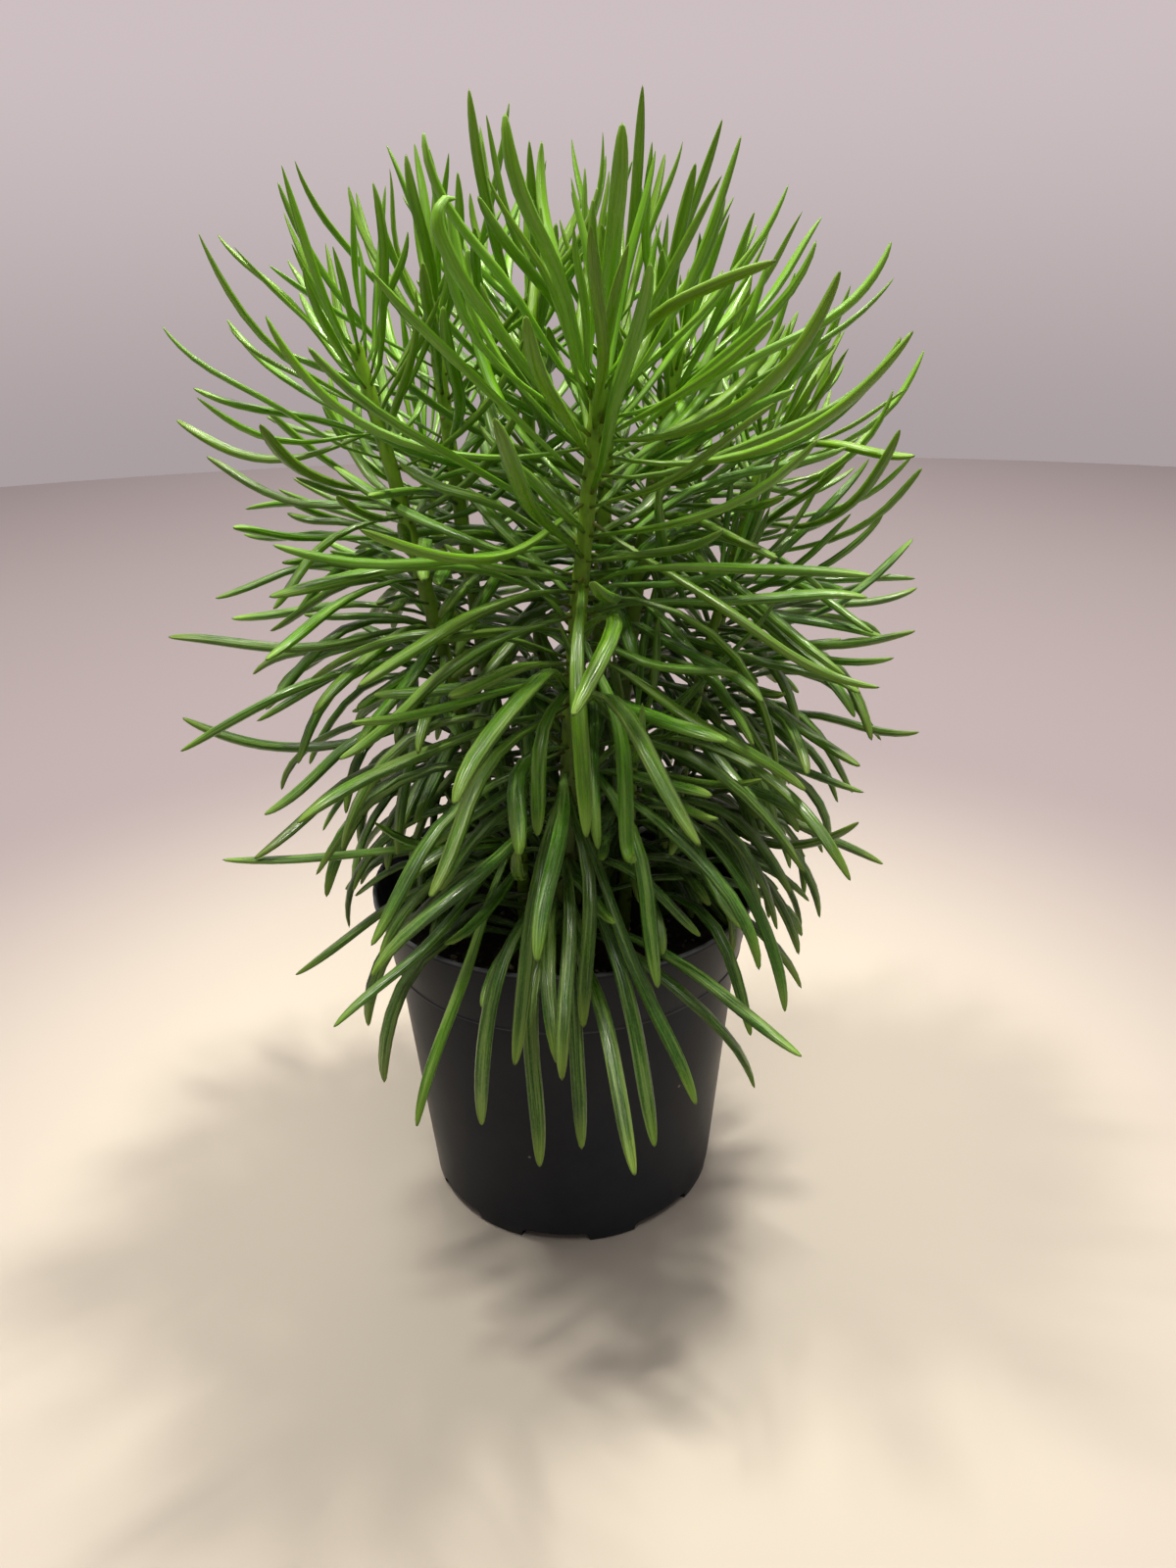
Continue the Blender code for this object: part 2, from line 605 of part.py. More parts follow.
def build_plant():
    """All shoots and the leaves that stand as bodies of their own."""
    leaves = grow()
    stem_surface = material("green_stem", STEM_GREEN, 0.45)
    leaf_surface = material("green_leaf", LEAF_GREEN, 0.38)
    for shoot in SHOOTS:
        own = [leaf for leaf in leaves if leaf["figures"][0] == shoot]
        build_shoot(shoot, own, stem_surface)
        single = [leaf for leaf in own if leaf["kind"] == "single"]
        for number, leaf in enumerate(single, 1):
            *_, curl, _ = leaf["figures"]
            shape = leaf_shape(leaf, CURLED_LEAF_MESH if curl else SINGLE_LEAF_MESH)
            finish(shape, f"leaf_{shoot}_{number:02d}", leaf_surface)


for old in list(bpy.data.objects):
    bpy.data.objects.remove(old)
build_pot()
build_soil()
build_plant()
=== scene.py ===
"""The looks of a potted senecio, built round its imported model.

Metres, +Z up, -Y towards the front, as in the model. Laid out as an add-on: each group of pieces
has its operator, and main() calls them in order.
"""
import functools
import json
import math
import random

import bmesh
import bpy
import numpy as np
from mathutils import Matrix, Vector, noise
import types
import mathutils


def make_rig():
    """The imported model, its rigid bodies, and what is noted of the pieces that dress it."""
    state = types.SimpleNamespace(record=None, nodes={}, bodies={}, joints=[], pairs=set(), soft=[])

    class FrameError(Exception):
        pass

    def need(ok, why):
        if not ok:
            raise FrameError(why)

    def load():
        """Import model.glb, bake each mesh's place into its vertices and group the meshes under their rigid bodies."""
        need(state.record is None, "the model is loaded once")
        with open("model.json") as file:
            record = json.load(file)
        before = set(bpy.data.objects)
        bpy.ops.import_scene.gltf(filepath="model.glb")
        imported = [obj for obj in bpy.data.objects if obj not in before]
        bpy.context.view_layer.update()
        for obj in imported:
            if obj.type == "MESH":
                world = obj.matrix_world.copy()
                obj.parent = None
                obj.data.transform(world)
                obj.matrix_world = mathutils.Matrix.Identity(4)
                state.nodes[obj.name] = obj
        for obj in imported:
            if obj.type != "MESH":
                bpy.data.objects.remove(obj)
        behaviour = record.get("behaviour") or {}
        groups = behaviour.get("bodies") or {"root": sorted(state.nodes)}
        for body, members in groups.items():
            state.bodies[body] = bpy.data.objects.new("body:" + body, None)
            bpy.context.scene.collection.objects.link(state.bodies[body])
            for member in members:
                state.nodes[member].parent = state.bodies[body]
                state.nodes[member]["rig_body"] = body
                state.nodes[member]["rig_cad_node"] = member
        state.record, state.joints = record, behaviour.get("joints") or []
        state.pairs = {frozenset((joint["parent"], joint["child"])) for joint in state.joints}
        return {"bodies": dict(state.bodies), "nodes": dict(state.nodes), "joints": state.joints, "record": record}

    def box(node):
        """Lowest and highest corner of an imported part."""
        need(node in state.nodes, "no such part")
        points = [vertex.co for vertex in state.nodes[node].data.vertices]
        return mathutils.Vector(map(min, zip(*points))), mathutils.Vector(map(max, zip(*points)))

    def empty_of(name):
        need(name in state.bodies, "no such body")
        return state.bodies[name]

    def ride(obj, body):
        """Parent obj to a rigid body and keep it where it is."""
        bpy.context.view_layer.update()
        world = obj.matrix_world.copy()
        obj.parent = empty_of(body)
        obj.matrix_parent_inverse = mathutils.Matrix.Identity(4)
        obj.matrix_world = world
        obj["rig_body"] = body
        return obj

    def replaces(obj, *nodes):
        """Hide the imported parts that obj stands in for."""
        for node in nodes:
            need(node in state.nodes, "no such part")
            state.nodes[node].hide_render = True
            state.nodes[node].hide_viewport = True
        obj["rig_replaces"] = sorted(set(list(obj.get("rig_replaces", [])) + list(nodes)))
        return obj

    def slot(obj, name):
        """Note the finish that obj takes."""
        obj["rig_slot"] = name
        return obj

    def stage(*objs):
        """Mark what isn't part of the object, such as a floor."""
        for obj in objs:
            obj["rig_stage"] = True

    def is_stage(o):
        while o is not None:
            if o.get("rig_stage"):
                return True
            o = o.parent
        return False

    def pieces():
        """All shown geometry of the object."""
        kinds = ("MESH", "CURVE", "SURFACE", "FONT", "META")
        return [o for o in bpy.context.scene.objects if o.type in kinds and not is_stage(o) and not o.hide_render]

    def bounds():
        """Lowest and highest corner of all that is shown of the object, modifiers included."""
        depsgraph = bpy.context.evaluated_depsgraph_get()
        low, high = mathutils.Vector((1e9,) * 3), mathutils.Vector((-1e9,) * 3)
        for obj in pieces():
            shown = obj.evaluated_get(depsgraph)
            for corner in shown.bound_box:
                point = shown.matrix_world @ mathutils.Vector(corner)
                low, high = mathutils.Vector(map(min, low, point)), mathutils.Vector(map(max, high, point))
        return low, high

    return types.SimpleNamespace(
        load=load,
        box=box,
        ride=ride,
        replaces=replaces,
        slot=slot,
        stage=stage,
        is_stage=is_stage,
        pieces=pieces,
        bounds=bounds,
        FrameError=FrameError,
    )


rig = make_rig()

bl_info = {
    "name": "Potted Senecio",
    "version": (1, 0, 0),
    "blender": (4, 5, 0),
    "location": "3D View > Sidebar > Senecio",
    "description": "Builds a nursery pot with soil, leafy upright shoots and a plain stage",
    "category": "Add Mesh",
}

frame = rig.load()
MODEL_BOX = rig.bounds()
BODY = "root"

# ---------------------------------------------------------------------------------------------
# Sizes, in metres. The pot's and soil's outer sizes come from the model; the rest is repeated
# from it, because the leaves here stand exactly where the model's leaves do.

RIM_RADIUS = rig.box("pot")[1].x
RIM_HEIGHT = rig.box("pot")[1].z
SOIL_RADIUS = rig.box("soil")[1].x
LIP_HEIGHT = 0.0028
LIP_OVERHANG = 0.0010
BAND_HEIGHT = 0.1070
BAND_RADIUS = 0.0700
BODY_RADIUS = 0.0689
FOOT_RADIUS = 0.0595
FOOT_CHAMFER = 0.0015
BEAD = 0.0004               # rounding of the raised lower edge of the band
WALL = 0.0012
FLOOR = 0.0016
NOTCHES = 8
NOTCH_TURN = -98
NOTCH_RADIUS = 0.0145
NOTCH_CENTRE = 0.0620
NOTCH_HEIGHT = 0.0044
DRAIN_RADIUS = 0.0030
DRAIN_CENTRE = 0.0530
SOIL_HEIGHT = 0.1200
SOIL_ROUGHNESS = 0.0012
SEAT = 0.0003

STEM_FOOT_Z = 0.1080
STEM_FOOT_RADIUS = 0.0036
STEM_TIP_RADIUS = 0.0022
LOW_SHOOT = 0.260
LOW_STEM_SIZE = 0.75
STEM_RINGS = 11
LEAF_WIDTH = 0.0050
LEAF_THICKNESS = 0.0037
LEAF_GAP = 0.0006
LEAF_STEPS = 12
SHAPE_STEPS = 24
FREE_FROM = 5               # the step from which crown leaves keep clear of each other
CLEAR_FROM = 2              # the first of a leaf's fine steps that has to be clear
CURL_SHARE = 0.86           # where the curl of the tip begins
GOLDEN_ANGLE = 137.508

# A leaf's outline, as shares of its length and of its full width
FOOT_WIDTH = 0.36
WIDEST = 0.45
SWELL = 0.8                 # below 1, a leaf widens fast from its foot
TAPER = 0.72                # where an old leaf begins to taper, and a young one
YOUNG_TAPER = 0.45
BLUNTNESS = 2.2             # above 1, the tip is rounder
YOUNG_POINT = 0.4           # how much sharper the tip of a young leaf is
YOUNG_SIZES = [0.55, 0.85]  # sizes of a leaf that is wholly young, and of one no longer young
TIP_WIDTH = 0.03
FULLNESS = 1.25             # above 1, the flesh fills out towards the tip

# How one leaf differs from the next: waves and tip lift (degrees), then the spread of each figure
SWAY = 15
RIPPLE = 12
UPTURN = 28
UPTURN_SHARE = 0.65         # where the lift of the tip begins
UPRIGHT = 70                # a leaf whose tip rises more has no such lift
BEND = 38
TURN_CHANCE = 12
FOOT_CHANCE = 9
TIP_CHANCE = (-18, 12)
LENGTH_CHANCE = (0.88, 1.08)
SIZE_CHANCE = (0.90, 1.08)

# Each shoot: foot x y, bow x y z and tip x y z (mm); leaves; turn of the first leaf (degrees);
# vigour, which scales its leaves
SHOOTS = {
    "front": ((-2, -42), (1, -42, 220), (14, -56, 322), 60, 20, 1.00),
    "middle": ((10, -2), (14, -2, 230), (21, 14, 338), 58, 80, 0.98),
    "right": ((16, 8), (22, 0, 235), (43, 2, 329), 62, 150, 0.90),
    "left": ((-22, 6), (-39, 2, 215), (-65, 4, 332), 56, 215, 0.82),
    "left_inner": ((-12, 22), (-32, 20, 220), (-41, 26, 341), 56, 30, 0.95),
    "back": ((-2, 34), (-10, 38, 230), (-9, 42, 343), 56, 300, 1.00),
    "right_outer": ((34, 12), (54, 14, 215), (79, 24, 297), 58, 100, 0.80),
    "right_back": ((26, 38), (34, 44, 215), (60, 74, 306), 54, 250, 0.85),
    "left_back": ((-28, 40), (-40, 48, 205), (-54, 80, 292), 52, 10, 0.85),
    "low_left": ((-16, -26), (-16, -30, 150), (-15, -38, 172), 18, 70, 0.75),
    "low_right": ((20, -30), (24, -30, 170), (25, -34, 208), 26, 160, 0.80),
    "side_right": ((38, -8), (44, -8, 200), (60, -8, 252), 34, 200, 0.80),
}

# How a leaf is held: its rise at the foot, its rise at the tip and the curl of its tip (degrees)
HABITS = {
    "steep": (40, 65, 0),
    "bowing": (60, -10, 0),
    "rising": (5, 45, 0),
    "sweeping": (-10, 50, 0),
    "dipping": (-20, 25, 0),
    "level": (5, 0, 0),
    "arching": (15, -35, 0),
    "sloping": (-5, -45, 0),
    "sinking": (-30, -25, 0),
    "drooping": (-20, -75, 0),
    "hanging": (5, -95, 0),
    "spilling": (25, -60, 0),
    "curled": (30, 60, 110),
    "hooked": (-35, -95, 150),
}
# The leaves that give the plant its outline, chosen one by one: height up the shoot (share), turn
# (degrees: 0 right, 90 back, 180 left, 270 front), length (mm) and habit
SET_LEAVES = {
    "front": [
        (.93, 225, 85, "curled"), (.98, 195, 80, "steep"), (.98, 240, 80, "steep"),
        (.99, 275, 75, "steep"), (.95, 300, 85, "bowing"), (.95, 0, 95, "rising"),
        (.92, 315, 95, "rising"), (.90, 330, 100, "sweeping"), (.87, 0, 100, "sweeping"),
        (.91, 185, 105, "sweeping"), (.83, 225, 85, "dipping"), (.70, 225, 85, "arching"),
        (.66, 210, 90, "sloping"), (.72, 270, 90, "drooping"), (.64, 285, 85, "hooked"),
        (.80, 330, 100, "sinking"), (.60, 330, 85, "sloping"), (.50, 210, 95, "arching"),
        (.40, 255, 100, "drooping"), (.22, 245, 100, "hanging"), (.17, 265, 100, "hanging"),
        (.10, 280, 110, "spilling"), (.26, 290, 105, "drooping"), (.33, 300, 105, "drooping"),
        (.14, 315, 100, "arching"),
    ],
    "low_left": [(.95, 240, 105, "drooping"), (.85, 225, 90, "sloping"), (.75, 195, 90, "sloping")],
    "low_right": [(.95, 315, 95, "spilling"), (.70, 315, 100, "hanging")],
    "side_right": [(.40, 315, 80, "dipping"), (.85, 330, 70, "level")],
    "middle": [(.70, 330, 105, "sloping")],
    "right_outer": [
        (.97, 300, 70, "level"), (.83, 300, 85, "rising"), (.60, 15, 85, "level"),
        (.30, 345, 85, "sloping"),
    ],
    "left": [
        (.45, 210, 80, "sloping"), (.58, 195, 90, "level"), (.44, 195, 100, "dipping"),
        (.52, 210, 100, "arching"), (.88, 180, 70, "dipping"),
    ],
    "right_back": [(.70, 60, 90, "level"), (.50, 90, 95, "arching"), (.30, 45, 100, "sloping")],
    "left_back": [(.70, 135, 85, "level"), (.50, 105, 90, "arching"), (.30, 150, 95, "sloping")],
    "back": [(.60, 90, 95, "level"), (.30, 75, 100, "sloping")],
}
# More leaves chosen in the same way, which the model leaves to the looks
MORE_LEAVES = {
    "front": [
        (.85, 300, 75, "steep"), (.77, 210, 95, "level"), (.57, 225, 85, "level"),
        (.69, 345, 95, "hanging"), (.20, 285, 100, "hanging"), (.55, 255, 60, "hanging"),
        (.52, 240, 90, "sloping"), (.46, 285, 90, "drooping"), (.44, 225, 95, "sloping"),
        (.38, 270, 85, "drooping"),
    ],
    "low_left": [(.92, 195, 100, "level")],
    "middle": [
        (.62, 300, 95, "sloping"), (.54, 330, 95, "arching"), (.46, 285, 90, "drooping"),
        (.38, 315, 95, "arching"),
    ],
    "right": [
        (.66, 315, 95, "sloping"), (.56, 345, 90, "arching"), (.46, 300, 95, "sloping"),
        (.36, 330, 95, "arching"),
    ],
    "right_outer": [(.50, 300, 85, "arching"), (.42, 330, 85, "level")],
    "left": [(.76, 225, 60, "sloping"), (.66, 240, 80, "arching"), (.36, 225, 95, "arching")],
    "left_inner": [(.60, 240, 90, "sloping"), (.50, 210, 90, "arching"), (.40, 255, 90, "arching")],
}
JOINED_FROM = 0.96

AGES = [0.0, 0.05, 0.10, 0.18, 0.30, 0.45, 0.60, 0.80, 1.0]
LENGTHS = [44, 70, 80, 87, 92, 96, 100, 102, 98]
FOOT_RISES = [82, 68, 54, 38, 20, 14, 16, 22, 26]
TIP_RISES = [84, 74, 64, 56, 36, -4, -42, -66, -80]
SIZE_AGES = [0, 0.1, 0.5]
SIZES = [0.60, 0.76, 1.08]  # width against the full one
LEAN_AGES = [0.1, 0.5]
LEANS = [1, 0.2]            # how far a leaf follows the lean of its stem
SET_HEIGHTS = [0.5, 0.85]
SET_SIZES = [1.06, 0.92]    # width of a chosen leaf by its height up the shoot
TOP_LEAF = 0.995            # height of the youngest leaf up its shoot (share)
LEAFY_SHARE = 0.93          # how far down a tall shoot is leafy, and a low one
LOW_LEAFY_SHARE = 0.85
TOP_CROWDING = 1.25         # above 1, leaves stand closer towards the growing tip
POT_CLEARANCE = 0.8         # share of a leaf's half width kept from the pot, besides the gap
CROWN_LEAVES = 8
LOW_CROWN_LEAVES = 5
NUDGES = [
    (0, 0), (6, 0), (-6, 0), (0, 6), (0, -6), (12, 0), (-12, 0), (6, 8), (-6, 8), (0, 14),
    (18, 4), (-18, 4), (0, -14), (12, 16), (-12, 16), (0, 24), (24, 10), (-24, 10), (0, 36),
]

# What only the looks have: the leaves between, then the shapes
MORE_NUDGES = [(36, 0), (-36, 0), (30, -16), (-30, -16), (48, 8), (-48, 8)]   # wider, for these only
FILL_FROM = 0.5             # crowns are filled with leaves numbered between those of the model
FILL_PAST = 3               # and past them
FILL_SIZE = 0.85            # length against a leaf of the model
FILL_SPREAD = 16            # how much lower they are held (degrees)
INNER_SIZE = 0.6            # length of the short leaves between the others
ARCH_AGES = [0.14, 0.22, 0.36, 0.50, 1.0]
ARCHES = [0, -10, 6, 20, 22]   # how far a leaf between arches over more, or less, than the rule says
TIP_CROWDING = 1.8          # above 1, a leaf's rings stand closer towards its tip
FOOT_DEPTH = 0.0012         # how deep a leaf's foot sits in its stem
TWIST = 35                  # degrees along a leaf, at most
UPPER_FLATNESS = 0.72       # height of a leaf's upper half against its lower one
GROOVE_DEPTH = 0.26         # against the leaf's half thickness
GROOVE_WIDTH = 0.38         # against its half width
FRESH_FROM = 0.25           # height up the shoot where leaves begin to freshen, and where they are fresh
FRESH_AT = 0.97
FRESH_POWER = 1.2
LOW_FRESHNESS = 0.35        # freshness on a low shoot against a tall one
STEM_LENGTH = 0.225         # of a tall stem, which the swellings are scaled by
SWELLING_HEIGHT = 0.0016
SWELLING_ENDS = 2.5         # heights away from a leaf's foot
SCAR_SHAPE = (1, 7 / 11, 7 / 22)   # half width, half height and rise, against the half width
BODY_RINGS = [0.0065, 0.012, 0.03, 0.055, 0.08]   # heights of rings on the pot's plain body
CUTTER_DROP = 0.005         # how far cutters reach below the foot
MOUNDS = 45                 # per metre of soil
CRUMBS = 420
SMALLEST_GRAIN = 0.0005
GRAIN_MARGIN = 0.003        # free of grains, along the rim
SHARP_ANGLE = 35            # degrees; flatter edges of the pot are smooth
MERGE = 1e-6                # points nearer than this are one
POT_SEGMENTS = 144
SOIL_SEGMENTS = 96
CUTTER_SIDES = 40
STEM_SIDES = 14
STEM_LOOK_RINGS = 90
SET_LEAF_MESH = (8, 18)     # sides and rings
CURLED_LEAF_MESH = (8, 30)
CROWN_LEAF_MESH = (8, 12)
SPRAY_LEAF_MESH = (6, 11)
SOIL_LOOK_RINGS = 36


# ---------------------------------------------------------------------------------------------
# Growth: the same rules as in the model, then the leaves between, which only show here

def millimetres(*values):
    """A point or vector given in millimetres."""
    return np.array(values, float) / 1000


def outward(turn):
    """The level unit vector at a turn in degrees."""
    return np.array([math.cos(math.radians(turn)), math.sin(math.radians(turn)), 0.0])


def along_stem(shoot, height):
    """The point on a stem's axis at a share of its height."""
    foot, bow, tip = SHOOTS[shoot][:3]
    start = np.array([*millimetres(*foot), STEM_FOOT_Z])
    return (
        (1 - height) ** 2 * start
        + 2 * height * (1 - height) * millimetres(*bow)
        + height ** 2 * millimetres(*tip))


def is_low(shoot):
    """Whether the shoot is one of the short young ones."""
    return SHOOTS[shoot][2][2] < LOW_SHOOT * 1000


def stem_radius(shoot, height):
    """The stem's radius at a share of its height."""
    size = LOW_STEM_SIZE if is_low(shoot) else 1.0
    return size * (STEM_FOOT_RADIUS + (STEM_TIP_RADIUS - STEM_FOOT_RADIUS) * height)


def stem_direction(shoot, height):
    """The unit vector along the stem at a share of its height."""
    ahead = along_stem(shoot, height + 0.02) - along_stem(shoot, height - 0.02)
    return ahead / np.linalg.norm(ahead)


def leaf_half_width(share, size):
    """Half the leaf's width at a share of its length; a narrow young leaf tapers sooner."""
    swell = FOOT_WIDTH + (1 - FOOT_WIDTH) * np.clip(share / WIDEST, 0, 1) ** SWELL
    youth = float(np.interp(size, YOUNG_SIZES, [1, 0]))
    tapering_from = TAPER + (YOUNG_TAPER - TAPER) * youth
    end = np.clip((share - tapering_from) / (1 - tapering_from), 0, 1)
    tip = (1 - end ** BLUNTNESS) ** (0.5 + YOUNG_POINT * youth)
    return size * LEAF_WIDTH / 2 * swell * np.maximum(tip, TIP_WIDTH)


def lean_matrix(shoot, height, share):
    """Turns the vertical a share of the way to the stem's own direction."""
    upright = np.array([0, 0, 1.0])
    ahead = stem_direction(shoot, height) * share + upright * (1 - share)
    ahead /= np.linalg.norm(ahead)
    turn = Vector(upright).rotation_difference(Vector(ahead))
    return np.array(turn.to_matrix())


def leaf_frame(
        shoot, height, turn, length, foot_rise, tip_rise, bend, curl, lean, steps=LEAF_STEPS):
    """Points along the leaf, with its sideways and upper directions at each of them."""
    chance = random.Random(f"{shoot} {height:.3f} {length:.1f}")
    sway, ripple = chance.uniform(-SWAY, SWAY), chance.uniform(-RIPPLE, RIPPLE)
    upturn = chance.uniform(0, UPTURN) if tip_rise < UPRIGHT else 0

    def angles(share):
        hooked = np.clip((share - CURL_SHARE) / (1 - CURL_SHARE), 0, 1)
        upturned = np.clip((share - UPTURN_SHARE) / (1 - UPTURN_SHARE), 0, 1)
        wave = np.sin(math.tau * share)
        rise = foot_rise + (tip_rise - foot_rise) * share + curl * hooked
        rise = rise + ripple * wave + upturn * upturned
        return np.radians(rise), np.radians(turn + bend * share ** 1.5 + sway * wave)

    matrix = lean_matrix(shoot, height, lean)
    rise, around = angles((np.arange(steps) + 0.5) / steps)
    ahead = np.stack([np.cos(rise) * np.cos(around), np.cos(rise) * np.sin(around), np.sin(rise)], 1)
    out = outward(turn)
    slant = abs(math.sin(math.radians(foot_rise))) * leaf_half_width(0.0, 1.0)
    leaning = math.sqrt(1 - float(out @ stem_direction(shoot, height)) ** 2)
    foot = along_stem(shoot, height) + out * (stem_radius(shoot, height) + SEAT + slant) / leaning
    line = np.vstack([foot, foot + np.cumsum(ahead @ matrix.T, 0) * length / 1000 / steps])
    rise, around = angles(np.arange(steps + 1) / steps)
    side = np.stack([-np.sin(around), np.cos(around), np.zeros(steps + 1)], 1)
    upper = np.stack([-np.sin(rise) * np.cos(around), -np.sin(rise) * np.sin(around), np.cos(rise)], 1)
    return line, side @ matrix.T, upper @ matrix.T


class Room:
    """The space already taken, as chains of round rods, each kept with its owner and its box."""

    # leaves are thinner than wide, so heights are stretched and rods may lie closer above each other
    SQUASH = np.array([1.0, 1.0, 1.5])

    def __init__(self):
        self.rods = []

    def add(self, owner, line, radius):
        """Takes the space of one stem or leaf."""
        line = line * self.SQUASH
        reach = radius.max()
        self.rods.append((owner, line, radius, line.min(0) - reach, line.max(0) + reach))

    def is_clear(self, line, radius, owner):
        """Whether a leaf keeps its gap to every rod whose owner is another."""
        line = line * self.SQUASH
        reach = radius.max() + LEAF_GAP
        low, high = line.min(0) - reach, line.max(0) + reach
        for other, rod, rod_radius, rod_low, rod_high in self.rods:
            if other == owner or (rod_low > high).any() or (rod_high < low).any():
                continue
            start, span = rod[:-1], np.diff(rod, axis=0)
            share = ((line[:, None] - start) * span).sum(2) / (span ** 2).sum(1)
            share = np.clip(share, 0, 1)
            nearest = start + span * share[..., None]
            distance = np.linalg.norm(line[:, None] - nearest, axis=2)
            taken = rod_radius[:-1] + np.diff(rod_radius) * share
            if (distance < radius[:, None] + taken + LEAF_GAP).any():
                return False
        return True


def finer(line, radius):
    """The same line and radii with three times as many steps."""
    old = np.arange(len(line))
    new = np.linspace(0, len(line) - 1, (len(line) - 1) * 3 + 1)
    points = np.stack([np.interp(new, old, line[:, axis]) for axis in range(3)], 1)
    return points, np.interp(new, old, radius)


def clears_pot(line, radius):
    """Whether each point is above the soil inside the rim, above the rim, or outside the pot."""
    from_axis = np.hypot(line[:, 0], line[:, 1])
    height = line[:, 2]
    need = radius * POT_CLEARANCE + LEAF_GAP
    wall = np.interp(height, [0, BAND_HEIGHT, RIM_HEIGHT], [FOOT_RADIUS, BAND_RADIUS, RIM_RADIUS])
    outside = from_axis > wall + need
    above = height > RIM_HEIGHT + need
    inside = (height > SOIL_HEIGHT + SOIL_ROUGHNESS + need) & (from_axis < BAND_RADIUS - need)
    return bool((outside | above | inside).all())


def place_leaf(room, kind, leaf, size, lean=0):
    """Nudges a leaf until it is clear, takes its space, and returns its figures.

    A crown leaf may meet its own stem and the feet of its crown. A chosen leaf keeps clear of the
    stems and the crowns' feet only, because its place beside the other leaves was chosen. A leaf
    between keeps clear of everything.
    """
    shoot, height, turn, length, foot_rise, tip_rise, bend, curl = leaf
    owner = {"crown": shoot, "single": None, "spray": "spray"}[kind]
    for swing, lift in NUDGES + MORE_NUDGES * (kind == "spray"):
        figures = (
            shoot, height, turn + swing, length, foot_rise + lift / 2, tip_rise + lift, bend, curl, lean)
        middle = leaf_frame(*figures)[0]
        radius = leaf_half_width(np.linspace(0, 1, LEAF_STEPS + 1), size)
        free = [values[CLEAR_FROM:] for values in finer(middle, radius)]
        if clears_pot(*free) and room.is_clear(*free, owner):
            foot = FREE_FROM if kind == "crown" else 0
            if foot:
                room.add(owner, middle[:foot + 1], radius[:foot + 1])
            room.add(None, middle[foot:], radius[foot:])
            return {"kind": kind, "figures": figures, "size": size}
    return None


def chosen_leaves(table):
    """The figures of the leaves that a table lists by shoot and habit."""
    return [
        (shoot, height, turn, length, *HABITS[habit][:2], 0, HABITS[habit][2])
        for shoot, rows in table.items() for height, turn, length, habit in rows]


def set_leaf_size(height):
    """A leaf is widest half-way up the plant and narrower towards the crown."""
    return float(np.interp(height, SET_HEIGHTS, SET_SIZES))


def young_leaf(shoot, number):
    """The figures, size and lean of a leaf that follow from its number, counted from the tip."""
    count, first_turn, vigour = SHOOTS[shoot][3:]
    chance = random.Random(100 * list(SHOOTS).index(shoot) + number)
    age = number / (count - 1)
    reach = LOW_LEAFY_SHARE if is_low(shoot) else LEAFY_SHARE
    height = TOP_LEAF - reach * age ** TOP_CROWDING
    turn = first_turn + GOLDEN_ANGLE * number + chance.uniform(-TURN_CHANCE, TURN_CHANCE)
    length = vigour * np.interp(age, AGES, LENGTHS) * chance.uniform(*LENGTH_CHANCE)
    foot_rise = np.interp(age, AGES, FOOT_RISES) + chance.uniform(-FOOT_CHANCE, FOOT_CHANCE)
    tip_rise = np.interp(age, AGES, TIP_RISES) + chance.uniform(*TIP_CHANCE)
    bend = chance.uniform(-BEND, BEND)
    size = np.interp(age, SIZE_AGES, SIZES) * (1 + vigour) / 2
    size *= chance.uniform(*SIZE_CHANCE)
    lean = float(np.interp(age, LEAN_AGES, LEANS))
    return (shoot, height, turn, length, foot_rise, tip_rise, bend, 0), size, lean


def changed(leaf, size=1.0, foot=0.0, tip=0.0):
    """A leaf's figures with another length and other rises at its foot and tip."""
    return (*leaf[:3], leaf[3] * size, leaf[4] + foot, leaf[5] + tip, *leaf[6:])


@functools.lru_cache
def grow():
    """Every leaf of the plant, and the scars of those that found no space."""
    room = Room()
    leaves, scars = [], []
    for shoot in SHOOTS:
        heights = np.linspace(0, 1, STEM_RINGS + 1)
        line = np.array([along_stem(shoot, height) for height in heights])
        room.add(shoot, line, np.array([stem_radius(shoot, height) for height in heights]))
    for leaf in chosen_leaves(SET_LEAVES):
        crown = leaf[1] > JOINED_FROM and not is_low(leaf[0])
        leaves.append(place_leaf(room, "crown" if crown else "single", leaf, set_leaf_size(leaf[1])))
    crown_count = {shoot: LOW_CROWN_LEAVES if is_low(shoot) else CROWN_LEAVES for shoot in SHOOTS}
    for shoot in SHOOTS:
        for number in range(crown_count[shoot]):
            leaves.append(place_leaf(room, "crown", *young_leaf(shoot, number)))
    for leaf in chosen_leaves(MORE_LEAVES):
        leaves.append(place_leaf(room, "spray", leaf, set_leaf_size(leaf[1])))
    for shoot in SHOOTS:
        for number in np.arange(FILL_FROM, crown_count[shoot] + FILL_PAST):
            leaf, *rest = young_leaf(shoot, float(number))
            leaf = changed(leaf, FILL_SIZE, -FILL_SPREAD, -FILL_SPREAD)
            leaves.append(place_leaf(room, "spray", leaf, *rest))
        for number in range(crown_count[shoot], SHOOTS[shoot][3]):
            leaf, *rest = young_leaf(shoot, number)
            arch = float(np.interp(number / (SHOOTS[shoot][3] - 1), ARCH_AGES, ARCHES))
            leaf = changed(leaf, foot=arch, tip=-arch)
            leaves.append(place_leaf(room, "spray", leaf, *rest))
            if leaves[-1] is None:
                scars.append(leaf[:3])
    for shoot in SHOOTS:
        for number in range(2 * crown_count[shoot], SHOOTS[shoot][3]):
            leaf, *rest = young_leaf(shoot, number + FILL_FROM)
            leaves.append(place_leaf(room, "spray", changed(leaf, INNER_SIZE), *rest))
    return [leaf for leaf in leaves if leaf], scars


